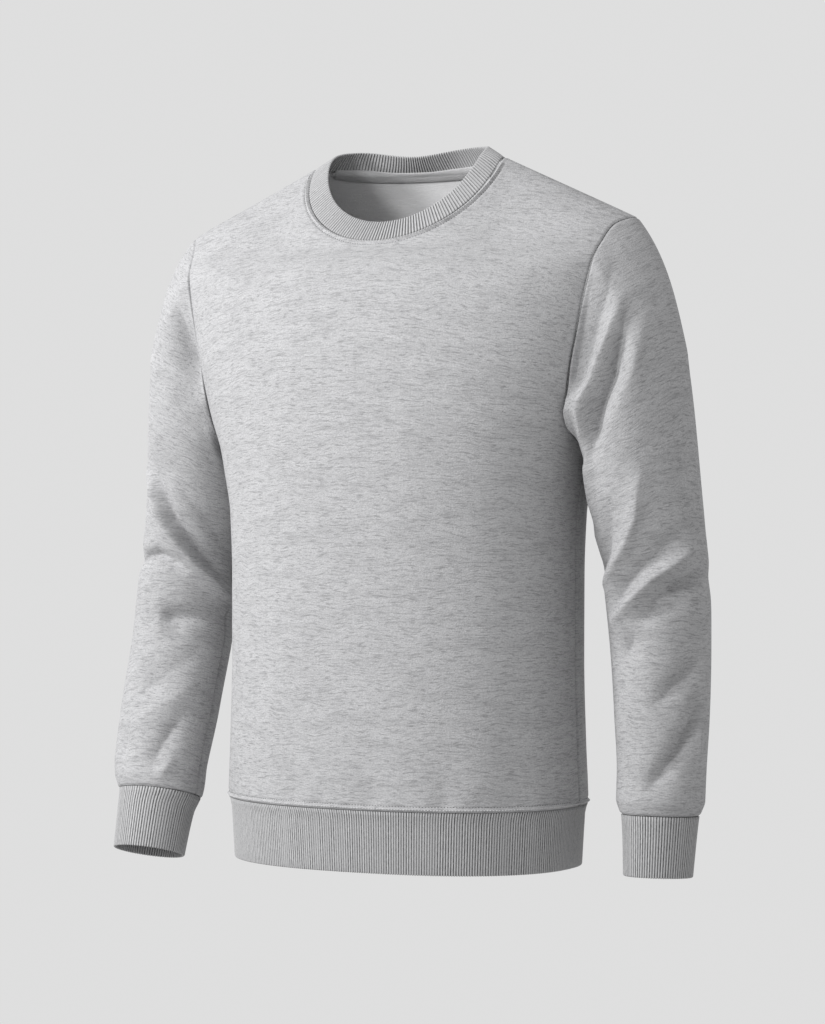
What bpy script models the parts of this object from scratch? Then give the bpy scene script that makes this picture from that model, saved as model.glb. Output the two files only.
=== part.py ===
"""Crewneck sweatshirt in heather fleece, filled out and hollow. Metres, +Z up. The wearer's front faces -Y
and the wearer's left is +X. The origin lies midway between the two points where the neck seam meets the
shoulders.

Every panel is a wall of cloth: a grid of outer points worked out from the sizes below, and the same points
moved in by the wall's thickness. Panels that share a seam share its points and its wall direction, and each
one's edge is then drawn back by half a seam gap.
"""

import bmesh
import bpy
import numpy as np

# Cloth
FLEECE = 0.0020          # wall of the fleece panels
RIB_WALL = 0.0026        # wall of the doubled rib bands
TAPE_WALL = 0.0010
SEAM_GAP = 0.0003
NECK_SEAM_GAP = 0.0005   # the neck seam is bulkier
RIB_RAISE = 0.0007       # height of a rib over the grooves beside it

# Lengths below the shoulder-neck points
HEM_SEAM_Z = -0.616
HEM_RIB_DEPTH = 0.059
UNDERARM_Z = -0.275
CUFF_SEAM_DROP = 0.620
CUFF_DEPTH = 0.057

# Neck and shoulders
NECK_HALF = 0.1020       # half the width between the shoulder-neck points
FRONT_NECK_DROP = 0.0805
BACK_NECK_DROP = 0.004
TIP_X = 0.2375           # the shoulder tip, where the shoulder seam meets the sleeve
TIP_DROP = 0.063
NECK_RIB_WIDTH = 0.0220
RIB_EASE = 8             # points over which the collar's free edge is rounded at the shoulders
# How far the collar leans in from upright, in degrees, going round from the front of the neck, where the
# wearer's left is positive
RIB_LEAN_COLUMNS = ("round", "lean")
RIB_LEANS = (
    (-180, 50), (-150, 49), (-137, 42), (-118, 20), (-100, 44), (-80, 52), (-45, 44), (0, 38),
    (45, 44), (80, 52), (100, 50), (125, 28), (150, 34), (165, 42), (180, 50),
)
TAPE_WIDTH = 0.009
SECTION_POWER = 2.3      # 2 is an ellipse, and more is squarer

# How the cloth rounds over the shoulders: the depth over which it turns down, and the power of that curve
FRONT_SHOULDER = (0.134, 0.75)
BACK_SHOULDER = (0.100, 0.50)
SHOULDER_TIP = (0.050, 0.50)

# The sleeve head: how far it stands out before it turns down, the slope it starts with in degrees at the
# underarm and at the tip, how much it spreads to front and back at the underarm, and how much it swings
# forward at the tip
CAP_FULLNESS = 1.0
UNDERARM_SLOPE = 65
TIP_SLOPE = 48
CAP_SPLAY = 0.15
CAP_FORWARD = 0.15

# The rib bands' rows: the share of the band's depth from its seam, and for the hem how far it draws in
HEM_ROWS = ((0.12, 0.0030), (0.55, 0.0045), (1.0, 0.0060))
HEM_MIDDLE = (0, -0.013, 0)
CUFF_ROWS = (0.12, 0.55, 1.0)
NECK_ROWS = (0.15, 0.60, 1.0)
TAPE_ROWS = (0.12, 1.0)

# Grid sizes, in segments
SIDE_ROWS = 12
ARMHOLE_ROWS = 12
SHOULDER_COLUMNS = 4
CLOSE_SPACING_SHARE = 0.75   # share of the height over which the closer columns at the sides spread out
FRONT_NECK_COLUMNS = 14
BACK_NECK_COLUMNS = 10
CAP_ROWS = 8
ARM_ROWS = 15
HEM_RIBS_A_COLUMN = 3
NECK_RIBS_A_COLUMN = 4
CUFF_RIBS_A_COLUMN = 2
FOLD_FADE_ROWS = 2       # rows next to a sleeve's seams over which its folds fade away

# The torso's level sections: height, half width, depth in front of and behind the side seams
TORSO_COLUMNS = ("z", "half", "front", "back")
TORSO = (
    (-0.690, 0.176, 0.126, 0.101),
    (-0.616, 0.181, 0.131, 0.105),
    (-0.560, 0.179, 0.131, 0.103),
    (-0.480, 0.177, 0.130, 0.102),
    (-0.400, 0.177, 0.130, 0.104),
    (-0.340, 0.179, 0.131, 0.108),
    (-0.300, 0.186, 0.131, 0.112),
    (-0.275, 0.1915, 0.131, 0.114),
    (-0.250, 0.2010, 0.130, 0.114),
    (-0.210, 0.2135, 0.127, 0.114),
    (-0.165, 0.2270, 0.119, 0.110),
    (-0.110, 0.2450, 0.100, 0.098),
    (-0.080, 0.2560, 0.0730, 0.086),
    (-0.030, 0.2650, 0.0590, 0.080),
    (0.030, 0.2700, 0.0520, 0.080),
)

# The armhole seam seen from the front, from the underarm to the shoulder tip
ARMHOLE_COLUMNS = ("share", "x", "z")
ARMHOLE = (
    (0.00, 0.1915, UNDERARM_Z),
    (0.15, 0.1905, -0.257),
    (0.30, 0.1940, -0.222),
    (0.50, 0.2035, -0.172),
    (0.70, 0.2135, -0.122),
    (0.84, 0.2205, -0.089),
    (0.94, 0.2270, -0.071),
    (1.00, TIP_X, -TIP_DROP),
)

# Each sleeve's level sections below the underarm: height, centre out from the middle and forward or back,
# half width and half depth
SLEEVE_COLUMNS = ("z", "x", "y", "half", "depth")
LEFT_SLEEVE = (
    (-0.315, 0.2410, 0.010, 0.0530, 0.064),
    (-0.350, 0.2455, 0.012, 0.0515, 0.061),
    (-0.400, 0.2535, 0.012, 0.0495, 0.056),
    (-0.460, 0.2585, 0.010, 0.0470, 0.050),
    (-0.530, 0.2625, 0.004, 0.0440, 0.046),
    (-0.585, 0.2640, -0.001, 0.0412, 0.043),
    (-0.606, 0.2640, -0.003, 0.0412, 0.042),
    (-0.620, 0.2640, -0.004, 0.0372, 0.037),
    (-0.680, 0.2625, -0.006, 0.0320, 0.033),
)
RIGHT_SLEEVE = (
    (-0.315, 0.2395, 0.010, 0.0525, 0.064),
    (-0.350, 0.2435, 0.011, 0.0520, 0.061),
    (-0.400, 0.2515, 0.009, 0.0515, 0.056),
    (-0.460, 0.2590, 0.005, 0.0505, 0.050),
    (-0.530, 0.2640, -0.010, 0.0500, 0.046),
    (-0.585, 0.2650, -0.027, 0.0475, 0.043),
    (-0.606, 0.2625, -0.034, 0.0460, 0.042),
    (-0.620, 0.2600, -0.038, 0.0428, 0.038),
    (-0.634, 0.2620, -0.042, 0.0395, 0.036),
    (-0.680, 0.2635, -0.054, 0.0358, 0.033),
)

# Folds of the sleeves: from one height and compass angle to another (0 faces the wearer's left, -90 the
# front), how wide, and how high, where a negative height is a trough
FOLD_COLUMNS = ("z_from", "angle_from", "z_to", "angle_to", "width", "height")
LEFT_FOLDS = (
    (-0.140, -60, -0.245, -108, 0.013, -0.005),
    (-0.150, -88, -0.235, -130, 0.012, 0.004),
    (-0.318, -76, -0.405, -135, 0.013, 0.005),
    (-0.372, -28, -0.436, -112, 0.013, 0.007),
    (-0.352, -85, -0.402, -155, 0.014, -0.006),
    (-0.402, 10, -0.410, -66, 0.011, -0.006),
    (-0.520, -15, -0.585, -76, 0.013, -0.003),
    (-0.390, 60, -0.430, 140, 0.014, 0.005),
    (-0.360, 150, -0.420, 100, 0.013, -0.005),
    (-0.500, 80, -0.560, 130, 0.014, -0.003),
)
RIGHT_FOLDS = (
    (-0.300, -126, -0.424, -10, 0.014, -0.009),
    (-0.322, -136, -0.436, -40, 0.012, 0.005),
    (-0.384, -130, -0.398, -72, 0.012, -0.005),
    (-0.440, -88, -0.446, -10, 0.013, -0.005),
    (-0.545, -45, -0.590, -75, 0.013, -0.003),
    (-0.130, -100, -0.220, -70, 0.013, -0.005),
    (-0.390, 60, -0.430, 130, 0.014, 0.005),
    (-0.350, 150, -0.410, 95, 0.013, -0.005),
    (-0.500, 80, -0.560, 130, 0.014, -0.003),
)

# Long soft folds that hang down the front and back: place across, top, how wide and how high
DRAPE_COLUMNS = ("x", "z_top", "width", "height")
FRONT_DRAPES = (
    (-0.062, -0.47, 0.016, -0.0022),
    (0.026, -0.49, 0.017, -0.0020),
    (0.096, -0.50, 0.016, -0.0022),
    (0.150, -0.46, 0.014, -0.0020),
)
BACK_DRAPES = (
    (-0.110, -0.40, 0.018, -0.0030),
    (-0.030, -0.46, 0.018, -0.0024),
    (0.055, -0.42, 0.018, -0.0028),
    (0.130, -0.48, 0.016, -0.0022),
)

HEATHER = (0.55, 0.55, 0.56)
RIB_HEATHER = (0.45, 0.45, 0.46)
CLOTH_ROUGHNESS = 0.95
SHARP_ANGLE = 50
SLOPE_STEP = 0.01        # height over which a slope of the sleeve's line is measured
DEPTH_STEP = 0.0005      # distance over which a slope of the front or back is measured
LEAST_LENGTH = 1e-12


def curve(table, column, at, name):
    """The named column of a table at places along its first column, as a smooth line through its rows."""
    rows = np.array(table, float)
    rows = rows[np.argsort(rows[:, 0])]
    where, values = rows[:, 0], rows[:, column.index(name)]
    steps = np.diff(values) / np.diff(where)
    slopes = np.zeros_like(values)
    same_way = steps[:-1] * steps[1:] > 0
    safe_sum = np.where(same_way, steps[:-1] + steps[1:], 1.0)
    slopes[1:-1] = np.where(same_way, 2 * steps[:-1] * steps[1:] / safe_sum, 0.0)
    slopes[0], slopes[-1] = steps[0], steps[-1]
    at = np.clip(at, where[0], where[-1])
    i = np.clip(np.searchsorted(where, at, side="right") - 1, 0, len(where) - 2)
    span = where[i + 1] - where[i]
    t = (at - where[i]) / span
    start = (1 + 2 * t) * (1 - t) ** 2 * values[i] + t * (1 - t) ** 2 * span * slopes[i]
    end = t**2 * (3 - 2 * t) * values[i + 1] + t**2 * (t - 1) * span * slopes[i + 1]
    return start + end


def smooth_step(value):
    value = np.clip(value, 0, 1)
    return value * value * (3 - 2 * value)


def unit(vectors):
    return vectors / np.maximum(np.linalg.norm(vectors, axis=-1, keepdims=True), LEAST_LENGTH)


def depth_of(x, z, side):
    """How far the cloth stands in front of (side -1) or behind (side 1) the side seams, at x and z."""
    half = curve(TORSO, TORSO_COLUMNS, z, "half")
    reach = curve(TORSO, TORSO_COLUMNS, z, "front" if side < 0 else "back")
    across = np.clip(np.abs(x) / half, 0, 1)
    section = (1 - across**SECTION_POWER) ** (1 / SECTION_POWER)
    out = np.clip((np.abs(x) - NECK_HALF) / (TIP_X - NECK_HALF), 0, 1)
    inside = np.clip(1 - (np.abs(x) / NECK_HALF) ** 2, 0, 1)
    slope = TIP_DROP / (TIP_X - NECK_HALF)
    ridge = slope * NECK_HALF * inside / 2 - TIP_DROP * out
    out = smooth_step(out)
    near_neck = FRONT_SHOULDER if side < 0 else BACK_SHOULDER
    radius = near_neck[0] * (1 - out) + SHOULDER_TIP[0] * out
    power = near_neck[1] * (1 - out) + SHOULDER_TIP[1] * out
    below = np.clip((ridge - z) / radius, 0, 1)
    return side * reach * section * (1 - (1 - below) ** 2) ** power


def panel(side, neck_columns, neck_drop, drapes):
    """The outer points of the front (side -1) or back (side 1), in rows from the hem up."""
    rows = SIDE_ROWS + ARMHOLE_ROWS
    columns = 2 * SHOULDER_COLUMNS + neck_columns
    across = np.linspace(-1, 1, columns + 1)
    spread = np.sign(across) * np.sin(np.abs(across) * np.pi / 2) ** (2 / SECTION_POWER)
    up = np.linspace(0, 1, rows + 1)

    side_z = np.linspace(HEM_SEAM_Z, UNDERARM_Z, SIDE_ROWS + 1)
    side_x = curve(TORSO, TORSO_COLUMNS, side_z, "half")
    share = np.linspace(0, 1, ARMHOLE_ROWS + 1)[1:]
    edge_x = np.append(side_x, curve(ARMHOLE, ARMHOLE_COLUMNS, share, "x"))
    edge_z = np.append(side_z, curve(ARMHOLE, ARMHOLE_COLUMNS, share, "z"))

    along = np.linspace(0, 1, SHOULDER_COLUMNS + 1)
    shoulder_x = TIP_X + (NECK_HALF - TIP_X) * along
    shoulder_z = -TIP_DROP * (1 - along)
    turn = np.linspace(0, np.pi, neck_columns + 1)[1:-1]
    top_x = np.concatenate([-shoulder_x, -NECK_HALF * np.cos(turn), shoulder_x[::-1]])
    top_z = np.concatenate([shoulder_z, -neck_drop * np.sin(turn), shoulder_z[::-1]])

    x = across * edge_x[:, None] + up[:, None] * (top_x - across * edge_x[-1])
    x = x + (1 - up[:, None]) * (spread - across) * edge_x[0]
    z = edge_z[:, None] + up[:, None] * (top_z - edge_z[-1])
    # Low rows are spaced closer at the sides, where the section turns.
    low = 1 - smooth_step(up / CLOSE_SPACING_SHARE)[:, None]
    x = low * spread * edge_x[:, None] + (1 - low) * x

    y = depth_of(x, z, side)
    for row in drapes:
        drape = dict(zip(DRAPE_COLUMNS, row))
        reach = smooth_step((drape["z_top"] - z) / (drape["z_top"] - HEM_SEAM_Z))
        y = y + side * drape["height"] * reach * np.exp(-(((x - drape["x"]) / drape["width"]) ** 2))
    return np.stack([x, y, z], axis=-1)


def panel_normals(points, side):
    """The outward directions of the front or back, from how its depth changes across and upwards."""
    x, z = points[..., 0], points[..., 2]
    slope_x = depth_of(x + DEPTH_STEP, z, side) - depth_of(x - DEPTH_STEP, z, side)
    slope_z = depth_of(x, z + DEPTH_STEP, side) - depth_of(x, z - DEPTH_STEP, side)
    level = np.full_like(x, 2 * DEPTH_STEP)
    return side * unit(np.stack([-slope_x, level, -slope_z], axis=-1))


def ring_normals(points):
    """Unit normals of a grid of points whose rows close on themselves."""
    wrapped = np.concatenate([points[:, -2:-1], points, points[:, 1:2]], axis=1)
    across = (wrapped[:, 2:] - wrapped[:, :-2]) / 2
    return unit(np.cross(across, np.gradient(points, axis=0)))


def seen_from(grid, edge):
    """The grid with the named edge as its first row."""
    return {
        "bottom": grid,
        "top": grid[::-1],
        "first": grid.swapaxes(0, 1),
        "last": grid.swapaxes(0, 1)[::-1],
    }[edge]


def drawn_back(points, ways, edge, by=SEAM_GAP / 2):
    """The grid with one edge moved towards its inside, square to the edge and to the wall's direction."""
    points = points.copy()
    view = seen_from(points, edge)
    inward = np.cross(seen_from(ways, edge)[0], np.gradient(view[0], axis=0))
    inward = inward * np.sign((inward * (view[1] - view[0])).sum())
    view[0] += unit(inward) * by
    return points


def shared(*edges):
    """One wall direction for a seam, from the normals of the pieces that meet there."""
    return unit(sum(edges))


def arm_table(table):
    """A sleeve's section table as smooth functions of height."""
    columns = SLEEVE_COLUMNS[1:]
    return {name: (lambda z, name=name: curve(table, SLEEVE_COLUMNS, z, name)) for name in columns}


def arm_section(arm, z, angles):
    """The level section of a sleeve at height z, with the points at the given angles round its centre."""
    x = arm["x"](z) + arm["half"](z) * np.cos(angles)
    y = arm["y"](z) + arm["depth"](z) * np.sin(angles)
    return np.stack([x, y, np.broadcast_to(z, x.shape)], axis=-1)


def tilt_of(arm, z):
    """How a sleeve's open end leans: its front is as much higher as the forearm swings forward."""
    return (arm["y"](z - SLOPE_STEP) - arm["y"](z + SLOPE_STEP)) / (2 * SLOPE_STEP)


def fold_height(points, centre, folds):
    """How far the folds lift each point of a sleeve, from its height and its compass angle."""
    lift = np.zeros(points.shape[:-1])
    offset = points[..., :2] - centre[..., :2]
    angle = np.arctan2(offset[..., 1], offset[..., 0])
    radius = np.linalg.norm(offset, axis=-1)
    for row in folds:
        fold = dict(zip(FOLD_COLUMNS, row))
        start, end = np.radians(fold["angle_from"]), np.radians(fold["angle_to"])
        middle = (start + end) / 2
        turned = (angle - middle + np.pi) % (2 * np.pi) - np.pi + middle
        away = np.stack([(turned - start) * radius, points[..., 2] - fold["z_from"]], axis=-1)
        rise = np.full_like(radius, fold["z_to"] - fold["z_from"])
        run = np.stack([(end - start) * radius, rise], axis=-1)
        length = np.linalg.norm(run, axis=-1)
        share = (away * run).sum(-1) / length**2
        off = (away[..., 0] * run[..., 1] - away[..., 1] * run[..., 0]) / length
        past = np.maximum(np.abs(share - 0.5) - 0.5, 0) * length
        lift = lift + fold["height"] * np.exp(-((off / fold["width"]) ** 2) - (past / fold["width"]) ** 2)
    return lift


def sleeve(ring, table, folds, mirror):
    """The outer points of a sleeve, whose first row is the armhole seam from the underarm to the front."""
    arm = arm_table(table)
    angles = np.pi + np.linspace(0, 2 * np.pi, len(ring))
    first_z = table[0][0]
    first = arm_section(arm, np.float64(first_z), angles)
    end_way = unit(arm_section(arm, np.float64(first_z - SLOPE_STEP), angles) - first)
    high = smooth_step((ring[:, 2] - UNDERARM_Z) / (-TIP_DROP - UNDERARM_Z))
    slope = np.radians(UNDERARM_SLOPE + (TIP_SLOPE - UNDERARM_SLOPE) * high)
    splay = CAP_SPLAY * np.sign(ring[:, 1]) * (1 - high) - CAP_FORWARD * high
    start_way = CAP_FULLNESS * unit(np.stack([np.cos(slope), splay, -np.sin(slope)], axis=-1))
    chord = np.linalg.norm(first - ring, axis=-1, keepdims=True)
    rows = []
    for t in np.linspace(0, 1, CAP_ROWS + 1)[:-1]:
        h00, h10 = (1 + 2 * t) * (1 - t) ** 2, t * (1 - t) ** 2
        h01, h11 = t * t * (3 - 2 * t), t * t * (t - 1)
        rows.append(h00 * ring + h10 * chord * start_way + h01 * first + h11 * chord * end_way)
    for z in np.linspace(first_z, -CUFF_SEAM_DROP, ARM_ROWS + 1):
        rows.append(arm_section(arm, np.float64(z), angles))
    points = np.array(rows)
    middle = points[:, :-1].mean(axis=1, keepdims=True)
    lean = smooth_step((first_z - points[..., 2]) / (first_z + CUFF_SEAM_DROP))
    points[..., 2] += lean * tilt_of(arm, -CUFF_SEAM_DROP) * (points[..., 1] - middle[..., 1])
    if mirror:
        points[..., 0] *= -1
        middle[..., 0] *= -1
    normals = ring_normals(points) * (1 if mirror else -1)
    row = np.arange(len(points))
    near_seams = smooth_step(np.minimum(row, row[::-1]) / FOLD_FADE_ROWS)
    lift = fold_height(points, middle, folds) * near_seams[:, None]
    return points + normals * lift[..., None]


def resampled(line, pieces):
    """A polyline with each of its segments cut into equal pieces, so that it keeps its shape."""
    steps = np.linspace(0, 1, pieces + 1)[:-1]
    cut = line[:-1, None] + steps[None, :, None] * (line[1:] - line[:-1])[:, None]
    return np.concatenate([cut.reshape(-1, line.shape[1]), line[-1:]])


def eased(ring, reach):
    """A closed ring of points with its corners rounded over the given number of points to each side."""
    steps = np.arange(-int(3 * reach) - 1, int(3 * reach) + 2)
    weights = np.exp(-((steps / reach) ** 2))
    open_ring = ring[:-1]
    soft = sum(w * np.roll(open_ring, step, axis=0) for w, step in zip(weights, steps)) / weights.sum()
    return np.concatenate([soft, soft[:1]])


def material_of(name, colour):
    material = bpy.data.materials.new(name)
    material.use_nodes = True
    shader = material.node_tree.nodes["Principled BSDF"]
    shader.inputs["Base Color"].default_value = (*colour, 1)
    shader.inputs["Roughness"].default_value = CLOTH_ROUGHNESS
    shader.inputs["Metallic"].default_value = 0.0
    return material


def solid(name, loops, closed_across, colour):
    """An object from a closed run of rows: each row is joined to the next and the last to the first.

    With closed_across the rows are rings, whose last point repeats the first. Otherwise both ends get a rim.
    """
    work = bmesh.new()
    count = loops.shape[1] - (1 if closed_across else 0)
    verts = [[work.verts.new(point) for point in row[:count]] for row in loops]
    rows = len(verts)
    for i in range(rows):
        upper, lower = verts[i], verts[(i + 1) % rows]
        for j in range(count if closed_across else count - 1):
            k = (j + 1) % count
            work.faces.new((upper[j], upper[k], lower[k], lower[j]))
    if not closed_across:
        half = rows // 2
        for j in (0, count - 1):
            for i in range(half - 1):
                opposite = rows - 1 - i
                work.faces.new((verts[i][j], verts[i + 1][j], verts[opposite - 1][j], verts[opposite][j]))
    bmesh.ops.recalc_face_normals(work, faces=work.faces)
    bmesh.ops.triangulate(work, faces=work.faces)
    if work.calc_volume(signed=True) < 0:
        bmesh.ops.reverse_faces(work, faces=work.faces)
    mesh = bpy.data.meshes.new(name)
    work.to_mesh(mesh)
    work.free()
    mesh.shade_smooth()
    mesh.set_sharp_from_angle(angle=np.radians(SHARP_ANGLE))
    mesh.materials.append(material_of(name + "_cloth", colour))
    made = bpy.data.objects.new(name, mesh)
    bpy.context.scene.collection.objects.link(made)
    return made


def wall(name, points, normals, thickness, closed_across, colour):
    """A panel of cloth: the outer points, and the same points moved in by the wall's thickness."""
    inner = points - normals * thickness
    return solid(name, np.concatenate([points, inner[::-1]]), closed_across, colour)


def ribbed_band(name, seam, seam_way, rows, ways, pieces, gap=SEAM_GAP):
    """A tube of rib knit: a plain row on the seam, then rows whose every second outer point is raised."""
    top = resampled(seam, pieces)
    top_way = resampled(seam_way, pieces)
    ribs = RIB_RAISE * (np.arange(len(top)) % 2)[:, None]
    outer, inner = [top], [top - top_way * RIB_WALL]
    for row, way in zip(rows, ways):
        outer.append(row + way * ribs)
        inner.append(row - way * RIB_WALL)
    ways = np.array([top_way, *ways])
    outer = drawn_back(np.array(outer), ways, "bottom", gap / 2)
    inner = drawn_back(np.array(inner), ways, "bottom", gap / 2)
    plain = inner[[-1, 1, 0]]
    return solid(name, np.concatenate([outer, plain]), True, RIB_HEATHER)


def build_hem(front_edge, back_edge, ways):
    """The waistband, from the hem seam down, drawn in a little below it."""
    seam = np.concatenate([front_edge, back_edge[::-1][1:]])
    top = resampled(seam, 2 * HEM_RIBS_A_COLUMN)
    rows, row_ways = [], []
    outward = unit((top - HEM_MIDDLE) * (1, 1, 0))
    for share, inset in HEM_ROWS:
        row = top - outward * inset
        row[:, 2] = HEM_SEAM_Z - share * HEM_RIB_DEPTH
        rows.append(row)
        row_ways.append(outward)
    return ribbed_band("hem_rib", seam, ways, rows, row_ways, 2 * HEM_RIBS_A_COLUMN)


def build_cuff(name, sleeve_points, seam_way, table, mirror):
    """A cuff, from the end of a sleeve down along the forearm."""
    seam = sleeve_points[-1]
    arm = arm_table(table)
    pieces = 2 * CUFF_RIBS_A_COLUMN
    fine = np.pi + np.linspace(0, 2 * np.pi, (len(seam) - 1) * pieces + 1)
    rows, row_ways = [], []
    tilt = tilt_of(arm, -CUFF_SEAM_DROP)
    for share in CUFF_ROWS:
        z = -CUFF_SEAM_DROP - share * CUFF_DEPTH
        row = arm_section(arm, np.float64(z), fine)
        row[:, 2] += tilt * (row[:, 1] - arm["y"](z))
        if mirror:
            row[:, 0] *= -1
        centre = row[:-1].mean(axis=0)
        rows.append(row)
        row_ways.append(unit((row - centre) * (1, 1, 0)))
    return ribbed_band(name, seam, seam_way, rows, row_ways, pieces)


def build_neck(front_top, back_top, front_way, back_way):
    """The collar rib: it stands up and leans in from the neck seam, and is higher behind than in front."""
    seam = np.concatenate([front_top, back_top[::-1][1:]])
    ways = np.concatenate([front_way, back_way[::-1][1:]])
    pieces = 2 * NECK_RIBS_A_COLUMN
    top = resampled(seam, pieces)
    plan = unit(top * (1, 1, 0))
    round_neck = np.degrees(np.arctan2(plan[:, 0], -plan[:, 1]))
    angle = np.radians(curve(RIB_LEANS, RIB_LEAN_COLUMNS, round_neck, "lean"))[:, None]
    upward = np.array([0, 0, 1])
    lean = upward * np.cos(angle) - plan * np.sin(angle)
    turned = upward * np.sin(angle) + plan * np.cos(angle)
    rows, row_ways = [], []
    for share in NECK_ROWS:
        rows.append(eased(top + lean * NECK_RIB_WIDTH * share, RIB_EASE * share))
        row_ways.append(turned)
    return ribbed_band("neck_rib", seam, ways, rows, row_ways, pieces, NECK_SEAM_GAP)


def build_tape(back_points, back_normals):
    """The neck tape: it lies on the inside of the back panel, along the back neck seam."""
    neck = slice(SHOULDER_COLUMNS, SHOULDER_COLUMNS + BACK_NECK_COLUMNS + 1)
    seam = back_points[-1, neck]
    way = back_normals[-1, neck]
    under = unit(back_points[-2, neck] - seam)
    clear = FLEECE + SEAM_GAP
    outer = []
    for share in TAPE_ROWS:
        outer.append(seam + under * TAPE_WIDTH * share - way * clear)
    outer = np.array(outer)[:, 1:-1]
    ways = np.array([way, way])[:, 1:-1]
    return wall("neck_tape", outer, ways, TAPE_WALL, False, RIB_HEATHER)


def main():
    for old in list(bpy.data.objects):
        bpy.data.objects.remove(old, do_unlink=True)
    front = panel(-1, FRONT_NECK_COLUMNS, FRONT_NECK_DROP, FRONT_DRAPES)
    back = panel(1, BACK_NECK_COLUMNS, BACK_NECK_DROP, BACK_DRAPES)
    front_way = panel_normals(front, -1)
    back_way = panel_normals(back, 1)

    # Side seams and shoulder seams
    for column in (0, -1):
        low = slice(0, SIDE_ROWS + 1)
        way = shared(front_way[low, column], back_way[low, column])
        front_way[low, column] = back_way[low, column] = way
    for columns in (slice(0, SHOULDER_COLUMNS + 1), slice(-SHOULDER_COLUMNS - 1, None)):
        way = shared(front_way[-1, columns], back_way[-1, columns])
        front_way[-1, columns] = back_way[-1, columns] = way

    pieces = {}
    for name, column, table, folds, mirror in (
        ("left_sleeve", -1, LEFT_SLEEVE, LEFT_FOLDS, False),
        ("right_sleeve", 0, RIGHT_SLEEVE, RIGHT_FOLDS, True),
    ):
        high = slice(SIDE_ROWS, None)
        ring = np.concatenate([front[high, column], back[high, column][::-1][1:]])
        own = ring * (-1, 1, 1) if mirror else ring
        points = sleeve(own, table, folds, mirror)
        way = ring_normals(points) * (1 if mirror else -1)
        body_way = np.concatenate([front_way[high, column], back_way[high, column][::-1][1:]])
        seam_way = shared(way[0], body_way)
        seam_way[0] = seam_way[-1] = unit(seam_way[0] + seam_way[-1])
        way[0] = seam_way
        front_way[high, column] = seam_way[: ARMHOLE_ROWS + 1]
        back_way[high, column] = seam_way[ARMHOLE_ROWS:][::-1]
        pieces[name] = (points, way, table, mirror)

    hem_way = np.concatenate([front_way[0], back_way[0][::-1][1:]]) * (1, 1, 0)
    build_hem(front[0], back[0], unit(hem_way))
    front_way[0] = unit(front_way[0] * (1, 1, 0))
    back_way[0] = unit(back_way[0] * (1, 1, 0))

    neck = slice(SHOULDER_COLUMNS, -SHOULDER_COLUMNS)
    build_neck(front[-1, neck], back[-1, neck], front_way[-1, neck], back_way[-1, neck])
    build_tape(back, back_way)

    for name, (points, way, table, mirror) in pieces.items():
        way[-1] = unit(way[-1] * (1, 1, 0))
        build_cuff(name.replace("sleeve", "cuff"), points, way[-1], table, mirror)
        points = drawn_back(drawn_back(points, way, "bottom"), way, "top")
        wall(name, points, way, FLEECE, True, HEATHER)

    for name, points, way in (("front", front, front_way), ("back", back, back_way)):
        for edge in ("bottom", "first", "last"):
            points = drawn_back(points, way, edge)
        points = drawn_back(points, way, "top", by=NECK_SEAM_GAP / 2)
        wall(name, points, way, FLEECE, False, HEATHER)


main()
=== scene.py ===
import math

import bmesh
import bpy
import numpy as np
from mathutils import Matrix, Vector


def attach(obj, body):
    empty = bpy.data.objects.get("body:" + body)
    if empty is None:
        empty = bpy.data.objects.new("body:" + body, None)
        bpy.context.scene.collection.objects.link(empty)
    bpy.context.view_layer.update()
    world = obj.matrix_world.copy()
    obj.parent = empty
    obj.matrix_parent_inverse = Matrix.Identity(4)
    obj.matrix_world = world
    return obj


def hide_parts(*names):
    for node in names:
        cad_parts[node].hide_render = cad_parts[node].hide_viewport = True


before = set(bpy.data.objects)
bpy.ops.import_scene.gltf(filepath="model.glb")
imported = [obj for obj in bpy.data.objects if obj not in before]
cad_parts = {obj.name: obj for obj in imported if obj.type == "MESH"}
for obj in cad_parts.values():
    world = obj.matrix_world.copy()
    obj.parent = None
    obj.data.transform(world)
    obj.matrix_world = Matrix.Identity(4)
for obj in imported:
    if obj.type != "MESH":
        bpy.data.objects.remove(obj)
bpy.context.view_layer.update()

# ---------------------------------------------------------------- camera and studio
# A level camera 2.8 m off, turned 27 degrees towards the wearer's left, so the near side looms a little. The
# floor is a pale disc under the garment, and soft light comes from the wearer's right and the front.
CAMERA_AZIMUTH = math.radians(27)
CAMERA_DISTANCE = 2.8
METRES_A_PIXEL = 0.00097
FRAME_HEIGHT = 1024
LOOK_AT = Vector((0.004, 0.0, -0.339))
WORLD_GREY = (0.735, 0.735, 0.735, 1)
FLOOR_GREY = (0.50, 0.50, 0.50, 1)
FLOOR_DROP, FLOOR_RADIUS = 0.95, 1.75
LAMPS = (
    # name, azimuth, height, distance, size, watts
    ("key", -46, 1.05, 2.1, 0.65, 48),
    ("edge", -100, 0.60, 2.6, 0.8, 6),
    ("front", -17, 0.80, 2.1, 0.65, 22),
)
towards_camera = Vector((math.sin(CAMERA_AZIMUTH), -math.cos(CAMERA_AZIMUTH), 0.0))


def link(obj):
    """The object, placed in the scene."""
    bpy.context.scene.collection.objects.link(obj)
    return obj


camera = link(bpy.data.objects.new("camera", bpy.data.cameras.new("camera")))
camera.location = LOOK_AT + towards_camera * CAMERA_DISTANCE
camera.rotation_mode = "QUATERNION"
camera.rotation_quaternion = towards_camera.to_track_quat("Z", "Y")
camera.data.sensor_width = 36.0
camera.data.lens = camera.data.sensor_width * CAMERA_DISTANCE / METRES_A_PIXEL / FRAME_HEIGHT
bpy.context.scene.camera = camera
bpy.context.scene.view_settings.view_transform = "Standard"

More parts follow.
